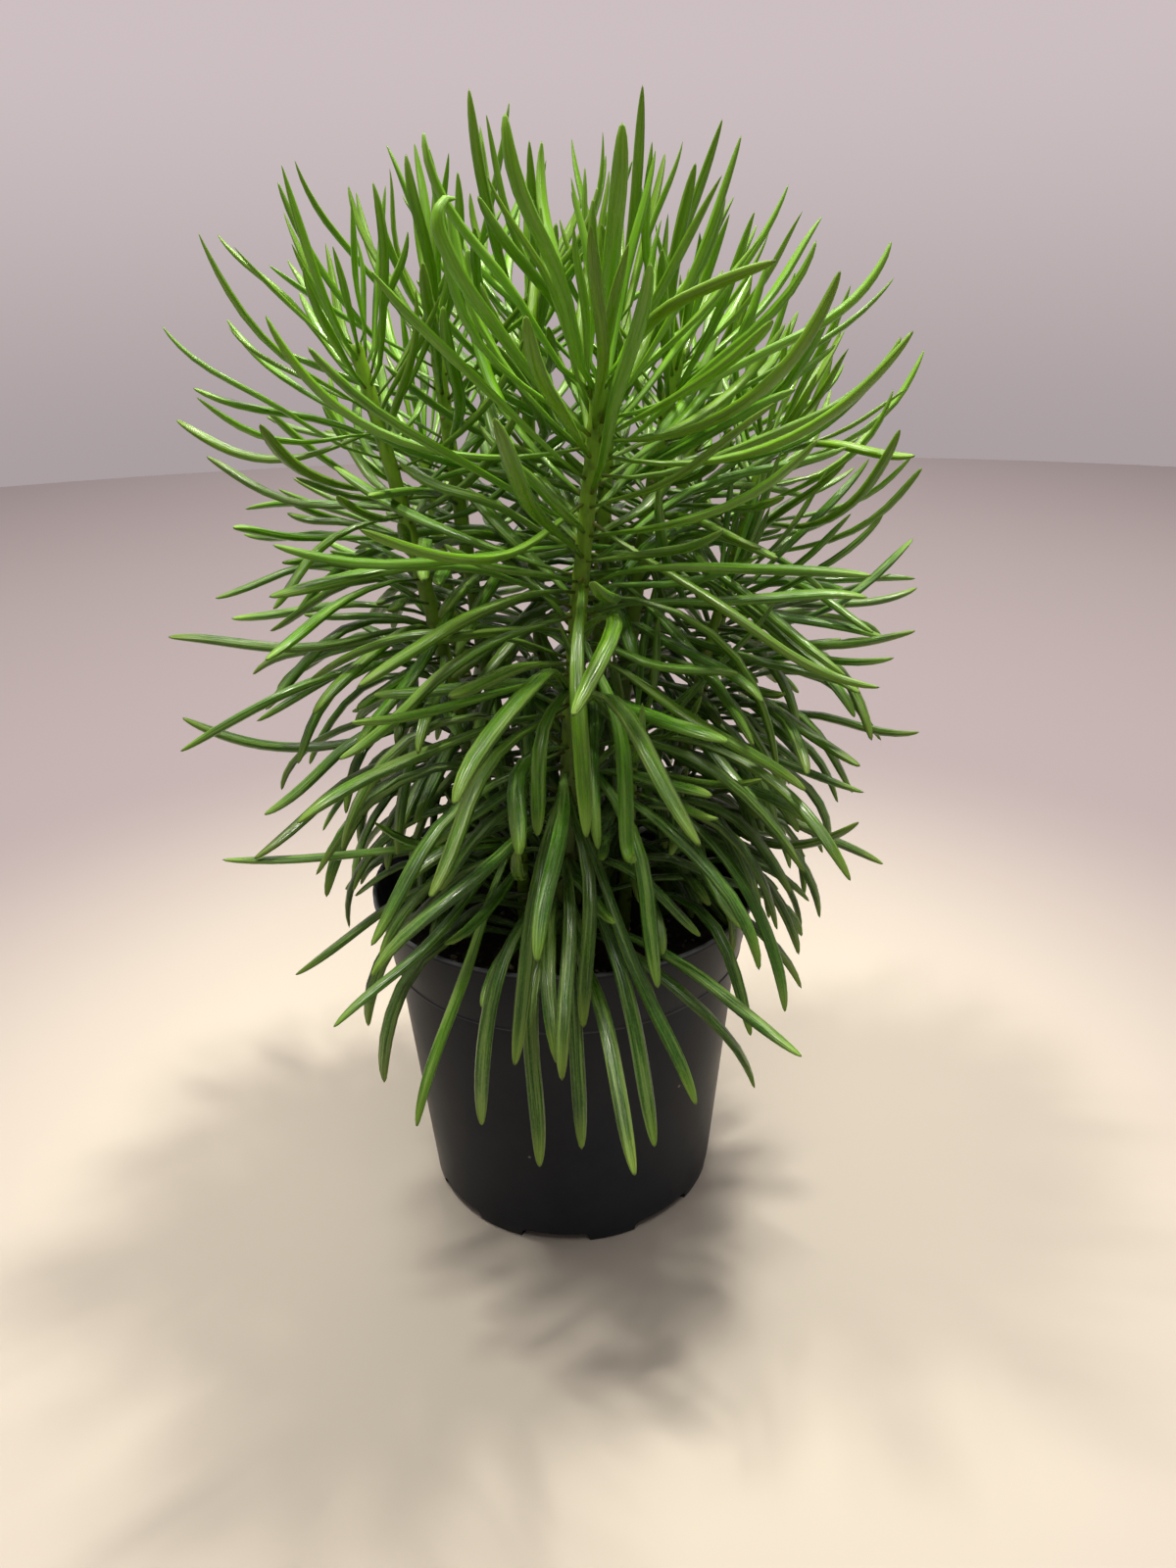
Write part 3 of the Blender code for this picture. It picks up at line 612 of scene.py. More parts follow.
def leaves_of(kind, shoot):
    """The leaves of one kind on one shoot."""
    return [leaf for leaf in grow()[0] if leaf["kind"] == kind and leaf["figures"][0] == shoot]


# ---------------------------------------------------------------------------------------------
# Materials

SMOOTH = {"interpolation_type": "SMOOTHSTEP"}
PATTERN_LEAF = 100          # mm: the leaf that the patterns along a leaf are scaled for


def linear(code):
    """A colour written as sRGB hex digits, turned linear, with full alpha."""
    parts = [int(code[start:start + 2], 16) / 255 for start in (0, 2, 4)]
    return (*[part / 12.92 if part <= 0.04045 else ((part + 0.055) / 1.055) ** 2.4 for part in parts], 1)


def every(size):
    """The scale of a pattern whose features are this many millimetres apart."""
    return 1000 / size


def add_node(tree, kind, inputs=(), **settings):
    """Adds a node, gives it its settings, fills or links its sockets, and returns its outputs."""
    made = tree.nodes.new("ShaderNode" + kind)
    for name, value in settings.items():
        setattr(made, name, value)
    for key, value in inputs.items() if isinstance(inputs, dict) else enumerate(inputs):
        if isinstance(value, bpy.types.NodeSocket):
            tree.links.new(value, made.inputs[key])
        else:
            made.inputs[key].default_value = value
    return made.outputs


def new_material(name, roughness, ior=1.45):
    """A node material; returns it, its shader and the function that adds nodes to it."""
    made = bpy.data.materials.new(name)
    made.use_nodes = True
    shader = made.node_tree.nodes["Principled BSDF"]
    shader.inputs["Roughness"].default_value = roughness
    shader.inputs["IOR"].default_value = ior
    return made, shader, functools.partial(add_node, made.node_tree)


def layered(node, base, layers):
    """Lays colours over a base: each shows as its value goes from low to high, at most so much."""
    for value, low, high, most, colour in layers:
        cover = node("MapRange", [value, low, high, 0.0, most], **SMOOTH)[0]
        base = node("Mix", {0: cover, 6: base, 7: colour}, data_type="RGBA")[2]
    return base


def dress(node, shader, colour, height=None, strength=0.0, depth=0.0, roughness=None):
    """Gives a shader its colour and, where given, its fine relief and its roughness."""
    links = {"Base Color": colour, "Roughness": roughness}
    if height:
        links["Normal"] = node("Bump", {"Strength": strength, "Distance": depth, "Height": height})[0]
    for name, value in links.items():
        if value:
            shader.id_data.links.new(value, shader.inputs[name])


def leaf_noise(node, place, shift, width, length, detail):
    """Noise laid on a leaf, with features so wide and so long (mm), another on each leaf."""
    around = every(width) * LEAF_WIDTH / 2
    scale = (around, around, PATTERN_LEAF / length)
    where = node("VectorMath", [place, scale, shift], operation="MULTIPLY_ADD")[0]
    return node("TexNoise", {"Vector": where, "Scale": 1.0, "Detail": detail, "Roughness": 0.6})[0]


@functools.lru_cache
def leaf_cuticle():
    """Waxy succulent leaf, grown: deep green with a soft shine, darker and paler bands along it,
    fine pale veins on old leaves, a fresh end and a dry point."""
    settings = bpy.context.scene.senecio_leaves
    made, shader, node = new_material("waxy_leaf_cuticle", 0.30, 1.45)
    place = node("Attribute", attribute_name="leaf_place")["Vector"]
    youth = node("Attribute", attribute_name="leaf_youth")["Fac"]
    tone = node("Attribute", attribute_name="leaf_tone")["Fac"]
    across, through, along = node("SeparateXYZ", [place])
    shift = node("Math", [tone, 37.0], operation="MULTIPLY")[0]
    shift = node("CombineXYZ", [shift])[0]
    age = node("Math", [youth, -0.65, 1.0], operation="MULTIPLY_ADD")[0]

    def on_old(most):
        """So much of a layer on an old leaf, and a third as much on a young one."""
        return node("Math", [age, most], operation="MULTIPLY")[0]

    # about ten veins round the leaf, which waver and break up; they are drawn wider than real ones
    waver = leaf_noise(node, place, shift, 1.14, 20, 1.0)
    waver = node("Math", [waver, 5.0], operation="MULTIPLY")[0]
    turn = node("Math", [through, across], operation="ARCTAN2")[0]
    turn = node("Math", [turn, 5.0, waver], operation="MULTIPLY_ADD")[0]
    rib = node("Math", [turn], operation="COSINE")[0]
    rib = node("Math", [rib], operation="ABSOLUTE")[0]
    rib = node("Math", [rib, age], operation="MULTIPLY")[0]
    vein = node("Math", [rib, 4.0], operation="POWER")[0]
    vein = node("Math", [vein, 0.16], operation="MULTIPLY")[0]
    streak = leaf_noise(node, place, shift, 0.556, 7.14, 3.0)
    fine = leaf_noise(node, place, shift, 0.147, 16.7, 2.0)
    band = leaf_noise(node, place, shift, 1.67, 38.5, 1.0)
    pale_band = node("Math", [age, 0.18, 0.24], operation="MULTIPLY_ADD")[0]
    # the cuticle's specks are finer than this; they are drawn this coarse to show
    mottle = node("TexNoise", {
        "Vector": node("TexCoord")["Object"],
        "Scale": every(0.909), "Detail": 3.0, "Roughness": 0.6})[0]
    flesh = layered(node, settings.old_colour, [
        (youth, 0.0, 0.5, 1.0, settings.middle_colour),
        (youth, 0.5, 1.0, 1.0, settings.young_colour),
        (streak, 0.40, 0.70, on_old(0.7), linear("1f3d06")),
        (mottle, 0.42, 0.70, 0.26, linear("66940a")),
        (band, 0.50, 0.38, on_old(0.6), linear("1b3606")),
        (band, 0.50, 0.62, pale_band, linear("8aa556")),
        (fine, 0.48, 0.66, on_old(0.2), linear("8fae58")),
        (streak, 0.36, 0.58, vein, linear("9cb765")),
        (along, 0.84, 0.99, on_old(0.5), linear("7fa02e")),
        (along, 0.988, 1.0, 0.7, linear("4a4426")),
        (along, 0.07, 0.0, 0.75, linear("6a5f26")),
    ])
    varied = node("HueSaturation", {
        "Hue": node("MapRange", [tone, 0.0, 1.0, 0.492, 0.506], **SMOOTH)[0],
        "Value": node("MapRange", [tone, 0.0, 1.0, 0.84, 1.14], **SMOOTH)[0],
        "Color": flesh})[0]
    relief = node("Math", [mottle, 0.15, rib], operation="MULTIPLY_ADD")[0]
    wax = node("MapRange", [streak, 0.35, 0.65, 0.22, 0.46], **SMOOTH)[0]
    dry_point = node("MapRange", [along, 0.88, 1.0, 0.0, 0.35], **SMOOTH)[0]
    roughness = node("Math", [wax, dry_point], operation="ADD")[0]
    dress(node, shader, varied, relief, 0.55, 0.00025, roughness)
    return made


@functools.lru_cache
def stem_skin():
    """Succulent stem, grown: smooth and green at the top, duller and browner towards the soil."""
    settings = bpy.context.scene.senecio_shoots
    made, shader, node = new_material("green_stem_skin", 0.42, 1.42)
    shader.inputs["Subsurface Weight"].default_value = 0.06
    shader.inputs["Subsurface Scale"].default_value = 0.001
    where = node("TexCoord")["Object"]
    height = node("Attribute", attribute_name="stem_height")["Fac"]
    # fibres four times as long as wide, drawn coarser than real ones to show
    stretched = node("Mapping", {"Vector": where, "Scale": (1.0, 1.0, 0.25)})[0]
    fibre = node("TexNoise", {"Vector": stretched, "Scale": every(0.667), "Detail": 3.0})[0]
    blotch = node("TexNoise", {"Vector": where, "Scale": every(3.85), "Detail": 3.0})[0]
    green = layered(node, settings.foot_colour, [
        (height, 0.1, 0.9, 1.0, settings.tip_colour),
        (fibre, 0.35, 0.7, 0.3, linear("66762f")),
        (blotch, 0.5, 0.75, 0.5, linear("2e3d14")),
    ])
    dress(node, shader, green, fibre, 0.4, 0.0002)
    return made


@functools.lru_cache
def scar_cork():
    """Dry cork grown over a leaf scar: pale, rough and matt."""
    made, shader, node = new_material("leaf_scar_cork", 0.7)
    where = node("TexCoord")["Object"]
    grain = node("TexNoise", {"Vector": where, "Scale": every(0.4)})[0]
    cork = node("Mix", {0: grain, 6: linear("7c7a45"), 7: linear("b0a878")}, data_type="RGBA")[2]
    dress(node, shader, cork)
    return made


@functools.lru_cache
def pot_plastic():
    """Thin moulded polypropylene: near black and satin, with faint scuffs and dried specks, and painted highlights: a
    greyer line along the band's lower edge and a paler one along the lip's top."""
    settings = bpy.context.scene.senecio_pot
    made, shader, node = new_material("moulded_black_polypropylene", 0.42, 1.49)
    shader.inputs["Specular IOR Level"].default_value = 0.06
    where = node("TexCoord")["Object"]
    cloud = node("TexNoise", {"Vector": where, "Scale": every(45.5), "Detail": 4.0, "Roughness": 0.6})[0]
    flat = node("Mapping", {"Vector": where, "Scale": (1.0, 1.0, 7.0)})[0]
    scuff = node("TexNoise", {"Vector": flat, "Scale": every(6.25), "Detail": 5.0, "Roughness": 0.7})[0]
    # the mould's fine texture is drawn this coarse to show
    peel = node("TexNoise", {"Vector": where, "Scale": every(1.43), "Detail": 2.0})[0]
    cell = node("TexVoronoi", {"Vector": where, "Scale": every(8.33)})
    speck = node("SeparateColor", [cell["Color"]])[0]
    speck = node("Math", [speck, 0.93], operation="GREATER_THAN")[0]
    speck = node("Math", [speck, 0.6], operation="MULTIPLY")[0]
    # patchy strength of the painted highlights on the band's lower edge and on the lip
    painted_highlight_amount = node("MapRange", [cloud, 0.30, 0.60, 0.35, 0.9], **SMOOTH)[0]
    up = node("SeparateXYZ", [where])[2]
    off_bead = node("Math", [up, BAND_HEIGHT + BEAD], operation="SUBTRACT")[0]
    off_bead = node("Math", [off_bead], operation="ABSOLUTE")[0]
    colour = layered(node, settings.colour, [
        (cloud, 0.3, 0.7, 1.0, linear("2b2e32")),
        (scuff, 0.62, 0.8, 0.35, linear("26282b")),
        (cell["Distance"], 0.10, 0.05, speck, linear("8a8377")),
        # painted highlights: a greyer line along the band's lower edge and a paler line along the lip's top
        (off_bead, 0.0009, 0.0003, painted_highlight_amount, linear("4b4e50")),
        (up, RIM_HEIGHT - 0.0013, RIM_HEIGHT - 0.0005, painted_highlight_amount, linear("74787c")),
    ])
    relief = node("Math", [scuff, 0.5, peel], operation="MULTIPLY_ADD")[0]
    roughness = node("MapRange", [cloud, 0.3, 0.7, 0.3, 0.44])[0]
    dress(node, shader, colour, relief, 0.18, 0.0002, roughness)
    return made


@functools.lru_cache
def peat():
    """Damp peat, milled: nearly black crumbs with brown fibres, fully matt."""
    settings = bpy.context.scene.senecio_soil
    made, shader, node = new_material("damp_peat", 0.92, 1.35)
    where = node("TexCoord")["Object"]
    crumb = node("TexVoronoi", {"Vector": where, "Scale": every(1.92)})
    fibre = node("TexNoise", {"Vector": where, "Scale": every(1.11), "Detail": 5.0, "Roughness": 0.7})[0]
    crumbs = {0: crumb["Color"], 6: settings.colour, 7: linear("2a2019")}
    colour = layered(
        node, node("Mix", crumbs, data_type="RGBA")[2], [(fibre, 0.55, 0.75, 0.5, linear("43352a"))])
    relief = node("Math", [crumb["Distance"], fibre], operation="ADD")[0]
    dress(node, shader, colour, relief, 0.8, 0.0006)
    return made


@functools.lru_cache
def grain_stone():
    """Crushed grit and bark: tan to grey, each grain of its own shade, dusty."""
    made, shader, node = new_material("tan_grit", 0.85)
    tone = node("Attribute", attribute_name="grain_tone")["Fac"]
    where = node("TexCoord")["Object"]
    dust = node("TexNoise", {"Vector": where, "Scale": every(0.556)})[0]
    dress(node, shader, layered(node, linear("2e241c"), [
        (tone, 0.0, 1.0, 1.0, linear("8f8269")), (dust, 0.4, 0.7, 0.4, linear("1c1713"))]))
    return made


@functools.lru_cache
def pale_paper():
    """Studio paper, pressed: matt and plain, cream near the plant and greyer further away, the grey being painted
    shade of the lamps' falloff.
    """
    settings = bpy.context.scene.senecio_stage
    made, shader, node = new_material("studio_paper", 0.9)
    where = node("TexCoord")["Object"]
    away = node("VectorMath", [where], operation="LENGTH")["Value"]
    # the paper greys away from the plant: painted shade of the lamps' falloff
    dress(node, shader, layered(node, settings.floor_colour, [
        (away, 0.12, 0.55, 1.0, settings.painted_falloff_colour)]))
    return made


# ---------------------------------------------------------------------------------------------
# Mesh tools

def as_mesh(bm, name):
    """Turns a bmesh into a mesh."""
    mesh = bpy.data.meshes.new(name)
    bm.to_mesh(mesh)
    bm.free()
    return mesh


def put(name, data):
    """Puts a new object with its data in the scene."""
    made = bpy.data.objects.new(name, data)
    bpy.context.scene.collection.objects.link(made)
    return made


def mark(mesh, name, values):
    """Gives each vertex a number that materials read by this name."""
    mesh.attributes.new(name, "FLOAT", "POINT").data.foreach_set("value", np.array(values, np.float32))


def finish(mesh, name, surface, slot=None, replaced=()):
    """Makes the named piece from a mesh, and says what it rides on and stands for.

    Without a slot it belongs to the stage.
    """
    mesh.shade_smooth()
    mesh.materials.append(surface)
    made = put(name, mesh)
    if slot is None:
        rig.stage(made)
        return made
    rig.ride(made, BODY)
    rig.slot(made, slot)
    if replaced:
        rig.replaces(made, *replaced)
    return made


def turned(profile, segments):
    """A solid of revolution about Z from (radius, height) points that begin and end on the axis."""
    bm = bmesh.new()
    points = [bm.verts.new((radius, 0, height)) for radius, height in profile]
    edges = [bm.edges.new(pair) for pair in zip(points, points[1:])]
    bmesh.ops.spin(
        bm, geom=points + edges, axis=(0, 0, 1), cent=(0, 0, 0),
        angle=math.tau, steps=segments, use_merge=True)
    bmesh.ops.remove_doubles(bm, verts=bm.verts, dist=MERGE)
    bmesh.ops.recalc_face_normals(bm, faces=bm.faces)
    return bm


@functools.lru_cache
def bar(sides, rings, pointed=True):
    """A bar of radius 1 along Z from 0 to 1, and the places of its vertices.

    It is the pattern of every stem and, with a pointed top and its rings closer there, of every leaf.
    """
    bm = bmesh.new()
    bmesh.ops.create_cone(bm, cap_ends=True, segments=sides, radius1=1, radius2=1, depth=1)
    bmesh.ops.translate(bm, verts=bm.verts, vec=(0, 0, 0.5))
    long_edges = [edge for edge in bm.edges if abs(edge.verts[0].co.z - edge.verts[1].co.z) > 0.5]
    bmesh.ops.subdivide_edges(bm, edges=long_edges, cuts=rings - 1)
    if pointed:
        tip = [vertex for vertex in bm.verts if vertex.co.z > 1 - MERGE]
        bmesh.ops.pointmerge(bm, verts=tip, merge_co=(0, 0, 1))
    mesh = as_mesh(bm, "bar")
    places = np.zeros(len(mesh.vertices) * 3, np.float32)
    mesh.vertices.foreach_get("co", places)
    places = places.reshape(-1, 3).astype(float)
    if pointed:
        places[:, 2] = 1 - (1 - places[:, 2]) ** TIP_CROWDING
    return mesh, places


def grooved(across, through):
    """The half-round section of a leaf: a flatter upper face with a groove along its middle."""
    upper = through > 0
    flat = np.where(upper, through * UPPER_FLATNESS, through)
    groove = GROOVE_DEPTH * np.exp(-(across / GROOVE_WIDTH) ** 2) * upper
    return across, flat - groove


def leaf_points(leaf, places):
    """A pattern's vertices moved to where one leaf has them."""
    chance = random.Random(f"{leaf['figures'][:4]}")
    line, side, upper = leaf_frame(*leaf["figures"], steps=SHAPE_STEPS)
    if leaf["kind"] == "crown":
        line[0] = along_stem(*leaf["figures"][:2])
    else:
        line[0] -= (line[1] - line[0]) / np.linalg.norm(line[1] - line[0]) * FOOT_DEPTH
    share = places[:, 2]
    across, through = grooved(places[:, 0], places[:, 1])
    twist = math.radians(chance.uniform(-TWIST, TWIST)) * share
    across, through = (
        across * np.cos(twist) - through * np.sin(twist),
        across * np.sin(twist) + through * np.cos(twist))
    half_width = leaf_half_width(share ** FULLNESS, leaf["size"])
    half_thickness = half_width * LEAF_THICKNESS / LEAF_WIDTH
    at = np.linspace(0, 1, len(line))
    line, side, upper = (
        np.stack([np.interp(share, at, values[:, axis]) for axis in range(3)], 1)
        for values in (line, side, upper))
    return line + side * (across * half_width)[:, None] + upper * (through * half_thickness)[:, None]


def leaf_youth(leaf):
    """How fresh and bright a leaf is, from 0 to 1."""
    shoot, height = leaf["figures"][:2]
    fresh = np.clip((height - FRESH_FROM) / (FRESH_AT - FRESH_FROM), 0, 1) ** FRESH_POWER
    return float(fresh * (LOW_FRESHNESS if is_low(shoot) else 1.0))


def leaf_cluster(leaves, mesh_size):
    """Many leaves in one mesh, each vertex with its place on its leaf and its leaf's shades."""
    pattern, places = bar(*mesh_size)
    bm = bmesh.new()
    for _ in leaves:
        bm.from_mesh(pattern)
    mesh = as_mesh(bm, "leaves")
    points = np.concatenate([leaf_points(leaf, places) for leaf in leaves])
    mesh.vertices.foreach_set("co", points.astype(np.float32).ravel())
    mesh.attributes.new("leaf_place", "FLOAT_VECTOR", "POINT").data.foreach_set(
        "vector", np.tile(places, (len(leaves), 1)).astype(np.float32).ravel())
    tones = [random.Random(f"{leaf['figures'][:3]}").random() for leaf in leaves]
    mark(mesh, "leaf_youth", np.repeat([leaf_youth(leaf) for leaf in leaves], len(places)))
    mark(mesh, "leaf_tone", np.repeat(tones, len(places)))
    mesh.update()
    return mesh


# ---------------------------------------------------------------------------------------------
# Pieces

def arc(centre, height, radius, first, last, count):
    """Points of a profile on an arc, from one angle to another (degrees)."""
    return [
        (centre + radius * math.cos(turn), height + radius * math.sin(turn))
        for turn in np.linspace(math.radians(first), math.radians(last), count)]


def pot_shell(rounding):
    """The pot's thin shell: foot chamfer, body, step of the band, band and rounded lip."""
    step = WALL / 3
    lip_z = RIM_HEIGHT - LIP_HEIGHT
    lip_radius = RIM_RADIUS - LIP_OVERHANG
    lean = (lip_radius - BAND_RADIUS) / (lip_z - BAND_HEIGHT)
    inner_band = BAND_RADIUS - WALL
    inner_lip = inner_band + lean * (RIM_HEIGHT - BAND_HEIGHT)
    body_top = BAND_HEIGHT - step
    body = [
        (float(np.interp(height, [FOOT_CHAMFER, body_top], [FOOT_RADIUS, BODY_RADIUS])), height)
        for height in (FOOT_CHAMFER, *BODY_RINGS, body_top)]
    return [
        (0, 0),
        (FOOT_RADIUS - FOOT_CHAMFER, 0),
        (FOOT_RADIUS - FOOT_CHAMFER * 0.3, FOOT_CHAMFER * 0.3),
        *body,
        *arc(BAND_RADIUS, BAND_HEIGHT + BEAD, BEAD, -90, 45, 7),
        (BAND_RADIUS + BEAD * 0.25, BAND_HEIGHT + BEAD * 2.8),
        (BAND_RADIUS + lean * BEAD * 5, BAND_HEIGHT + BEAD * 5),
        (lip_radius, lip_z),
        (RIM_RADIUS - rounding * 0.3, lip_z + rounding * 0.2),
        (RIM_RADIUS, lip_z + rounding),
        *arc(RIM_RADIUS - rounding, RIM_HEIGHT - rounding, rounding, 0, 90, 5),
        (inner_lip + rounding, RIM_HEIGHT),
        (inner_lip, RIM_HEIGHT - rounding),
        (inner_band + lean * step, BAND_HEIGHT + step),
        (BODY_RADIUS - WALL, body_top),
        (FOOT_RADIUS - WALL, FLOOR),
        (0, FLOOR),
    ]


def foot_cutters(name, radius, centre, top, rounding=0.0):
    """Upright cylinders round the foot, with rounded tops where that is wanted, to cut with."""
    bm = bmesh.new()
    for number in range(NOTCHES):
        x, y, _ = outward(NOTCH_TURN + number * 360 / NOTCHES) * centre
        made = bmesh.ops.create_cone(
            bm, cap_ends=True, segments=CUTTER_SIDES, radius1=radius, radius2=radius,
            depth=top + CUTTER_DROP)
        bmesh.ops.translate(bm, verts=made["verts"], vec=(x, y, (top - CUTTER_DROP) / 2))
    if rounding:
        ends = [edge for edge in bm.edges if min(vertex.co.z for vertex in edge.verts) > top - MERGE]
        bmesh.ops.bevel(
            bm, geom=ends, offset=rounding, segments=6, profile=0.5, affect="EDGES", material=-1)
    return put(name, as_mesh(bm, name))


def cut(piece, cutter):
    """Cuts a cutter out of a piece for good, and removes the cutter."""
    step = piece.modifiers.new("cut", "BOOLEAN")
    step.operation = "DIFFERENCE"
    step.solver = "EXACT"
    step.object = cutter
    with bpy.context.temp_override(object=piece, active_object=piece):
        bpy.ops.object.modifier_apply(modifier="cut")
    bpy.data.objects.remove(cutter)


def build_pot():
    """The pot, with its foot notches and drain holes cut as in the model."""
    settings = bpy.context.scene.senecio_pot
    shell = as_mesh(turned(pot_shell(settings.lip_rounding), POT_SEGMENTS), "nursery_pot")
    pot = finish(shell, "nursery_pot", pot_plastic(), "black_plastic", ["pot"])
    cut(pot, foot_cutters("notches", NOTCH_RADIUS, NOTCH_CENTRE, NOTCH_HEIGHT, settings.notch_rounding))
    cut(pot, foot_cutters("drains", DRAIN_RADIUS, DRAIN_CENTRE, NOTCH_HEIGHT * 2))
    pot.data.shade_smooth()
    pot.data.set_sharp_from_angle(angle=math.radians(SHARP_ANGLE))


def soil_height(x, y):
    """The soil's surface: low mounds, with crumbs on them."""
    point = Vector((x, y, 0))
    mounds = noise.noise(point * MOUNDS) * 0.5
    crumbs = noise.fractal(point * CRUMBS, 0.9, 2.0, 4) * 0.5
    return SOIL_HEIGHT + SOIL_ROUGHNESS * (mounds + crumbs)


def build_soil():
    """The soil's crumbly top, closed underneath, and the grit that lies on it."""
    settings = bpy.context.scene.senecio_soil
    step = WALL / 3
    profile = [
        (0, NOTCH_HEIGHT + WALL + SEAT),
        (FOOT_RADIUS - WALL - SEAT, NOTCH_HEIGHT + WALL + SEAT),
        (BODY_RADIUS - WALL - SEAT, BAND_HEIGHT - step),
        (BAND_RADIUS - WALL - SEAT, BAND_HEIGHT + step),
        (SOIL_RADIUS - SEAT, SOIL_HEIGHT - SOIL_ROUGHNESS),
    ]
    rings = np.linspace(SOIL_RADIUS, 0, SOIL_LOOK_RINGS)
    bm = turned(profile + [(ring, SOIL_HEIGHT) for ring in rings], SOIL_SEGMENTS)
    for vertex in bm.verts:
        if vertex.co.z > SOIL_HEIGHT - MERGE:
            vertex.co.z = soil_height(vertex.co.x, vertex.co.y)
    finish(as_mesh(bm, "soil_bed"), "soil_bed", peat(), "potting_soil", ["soil"])

    chance = random.Random(5)
    bm = bmesh.new()
    tones = []
    for _ in range(settings.grain_count):
        turn = chance.uniform(0, math.tau)
        out = (SOIL_RADIUS - GRAIN_MARGIN) * math.sqrt(chance.random())
        x, y = out * math.cos(turn), out * math.sin(turn)
        size = chance.uniform(SMALLEST_GRAIN, settings.grain_size)
        squash = Matrix.Diagonal((1, chance.uniform(0.5, 1), chance.uniform(0.35, 0.8), 1))
        spin = Matrix.Rotation(chance.uniform(0, math.tau), 4, (chance.random(), chance.random(), 1))
        place = Matrix.Translation((x, y, soil_height(x, y) + size * 0.2))
        made = bmesh.ops.create_icosphere(bm, subdivisions=1, radius=size, matrix=place @ spin @ squash)
        tones += [chance.random()] * len(made["verts"])
    grains = finish(as_mesh(bm, "soil_grains"), "soil_grains", grain_stone(), "potting_soil")
    mark(grains.data, "grain_tone", tones)


def stem_mesh(shoot, swelling):
    """A stem as a bent taper, a little swollen at the foot of each leaf."""
    pattern, places = bar(STEM_SIDES, STEM_LOOK_RINGS, pointed=False)
    figures = [leaf["figures"] for leaf in grow()[0]]
    feet = [(height, outward(turn)) for owner, height, turn, *_ in figures if owner == shoot]
    points = []
    for x, y, height in places:
        ahead = stem_direction(shoot, height)
        side = np.cross(ahead, [0, 1, 0])
        side /= np.linalg.norm(side)
        direction = side * x + np.cross(ahead, side) * y
        swell = 0.0
        for foot_height, out in feet:
            near = (height - foot_height) * STEM_LENGTH / SWELLING_HEIGHT
            if abs(near) < SWELLING_ENDS:
                swell = max(swell, swelling * math.exp(-near ** 2) * max(direction @ out, 0) ** 3)
        points.append(along_stem(shoot, height) + (stem_radius(shoot, height) + swell) * direction)
    stem = pattern.copy()
    stem.vertices.foreach_set("co", np.array(points, np.float32).ravel())
    mark(stem, "stem_height", places[:, 2])
    return stem


def scar_mesh(scars, half_width):
    """The small raised scars of fallen leaves on one stem."""
    bm = bmesh.new()
    flat = Matrix.Diagonal((*[half_width * share for share in SCAR_SHAPE], 1))
    for shoot, height, turn in scars:
        out = Vector(outward(turn))
        place = Vector(along_stem(shoot, height)) + out * stem_radius(shoot, height)
        facing = out.to_track_quat("Z", "Y").to_matrix().to_4x4()
        bmesh.ops.create_uvsphere(
            bm, u_segments=8, v_segments=5, radius=1, matrix=Matrix.Translation(place) @ facing @ flat)
    return as_mesh(bm, "scars")


def build_shoots():
    """Each shoot: its stem with the young leaves of its crown and the scars of fallen leaves."""
    settings = bpy.context.scene.senecio_shoots
    for shoot in SHOOTS:
        scars = [scar for scar in grow()[1] if scar[0] == shoot]
        bm = bmesh.new()
        counts = []
        for mesh in (
                stem_mesh(shoot, settings.swelling),
                leaf_cluster(leaves_of("crown", shoot), CROWN_LEAF_MESH),
                scar_mesh(scars, settings.scar_width)):
            bm.from_mesh(mesh)
            counts.append(len(bm.faces))
        bm.faces.ensure_lookup_table()
        for face in bm.faces:
            face.material_index = sum(face.index >= count for count in counts[:2])
        name = f"{shoot}_shoot"
        made = finish(as_mesh(bm, name), name, stem_skin(), "green_stem", [f"shoot_{shoot}"])
        made.data.materials.append(leaf_cuticle())
        made.data.materials.append(scar_cork())


def build_leaves():
    """The leaves that are nodes of their own in the model, one piece each."""
    for shoot in SHOOTS:
        for number, leaf in enumerate(leaves_of("single", shoot), 1):
            curled = leaf["figures"][7] != 0
            mesh = leaf_cluster([leaf], CURLED_LEAF_MESH if curled else SET_LEAF_MESH)
            finish(
                mesh, f"{shoot}_leaf_{number:02d}", leaf_cuticle(), "green_leaf",
                [f"leaf_{shoot}_{number:02d}"])


def build_sprays():
    """The leaves between, one piece for each shoot."""
    for shoot in SHOOTS:
        mesh = leaf_cluster(leaves_of("spray", shoot), SPRAY_LEAF_MESH)
        finish(mesh, f"{shoot}_spray", leaf_cuticle(), "green_leaf")


# ---------------------------------------------------------------------------------------------
# Stage

CAMERA_PLACE = (0.0, -0.3959, 0.3412)
CAMERA_TURN = (23.07, 1.39, -1.06)  # degrees downward, to the right and of roll
CAMERA_LENS = 25.6          # mm on a 36 mm sensor
NEAREST_SEEN = 0.01

# Soft square lamps: place, the point faced, width, power against the key's, colour
LAMPS = {
    "key": ((0.55, 0.42, 2.25), (0.0, 0.0, 0.22), 0.22, 1.0, "fff8ee"),
    "second": ((-0.70, 0.12, 2.20), (0.0, 0.0, 0.22), 0.22, 0.65, "fff8ee"),
    "front": ((0.08, -1.00, 2.10), (0.0, 0.0, 0.22), 0.70, 0.25, "fffaf4"),
    "backdrop": ((0.0, 2.60, 2.20), (0.0, 2.60, 0.0), 1.40, 0.80, "fff8f4"),
}
# How the sky's strength changes: direction, from and to along it, strength there and there. It is
# darker towards the floor, overhead, and in front of the plant, where it would flatten the leaves.
SKY = [("Z", -0.13, 0.20, 0.66, 1.0), ("Z", 0.25, 0.75, 1.0, 0.62), ("Y", -0.35, 0.30, 0.50, 1.0)]


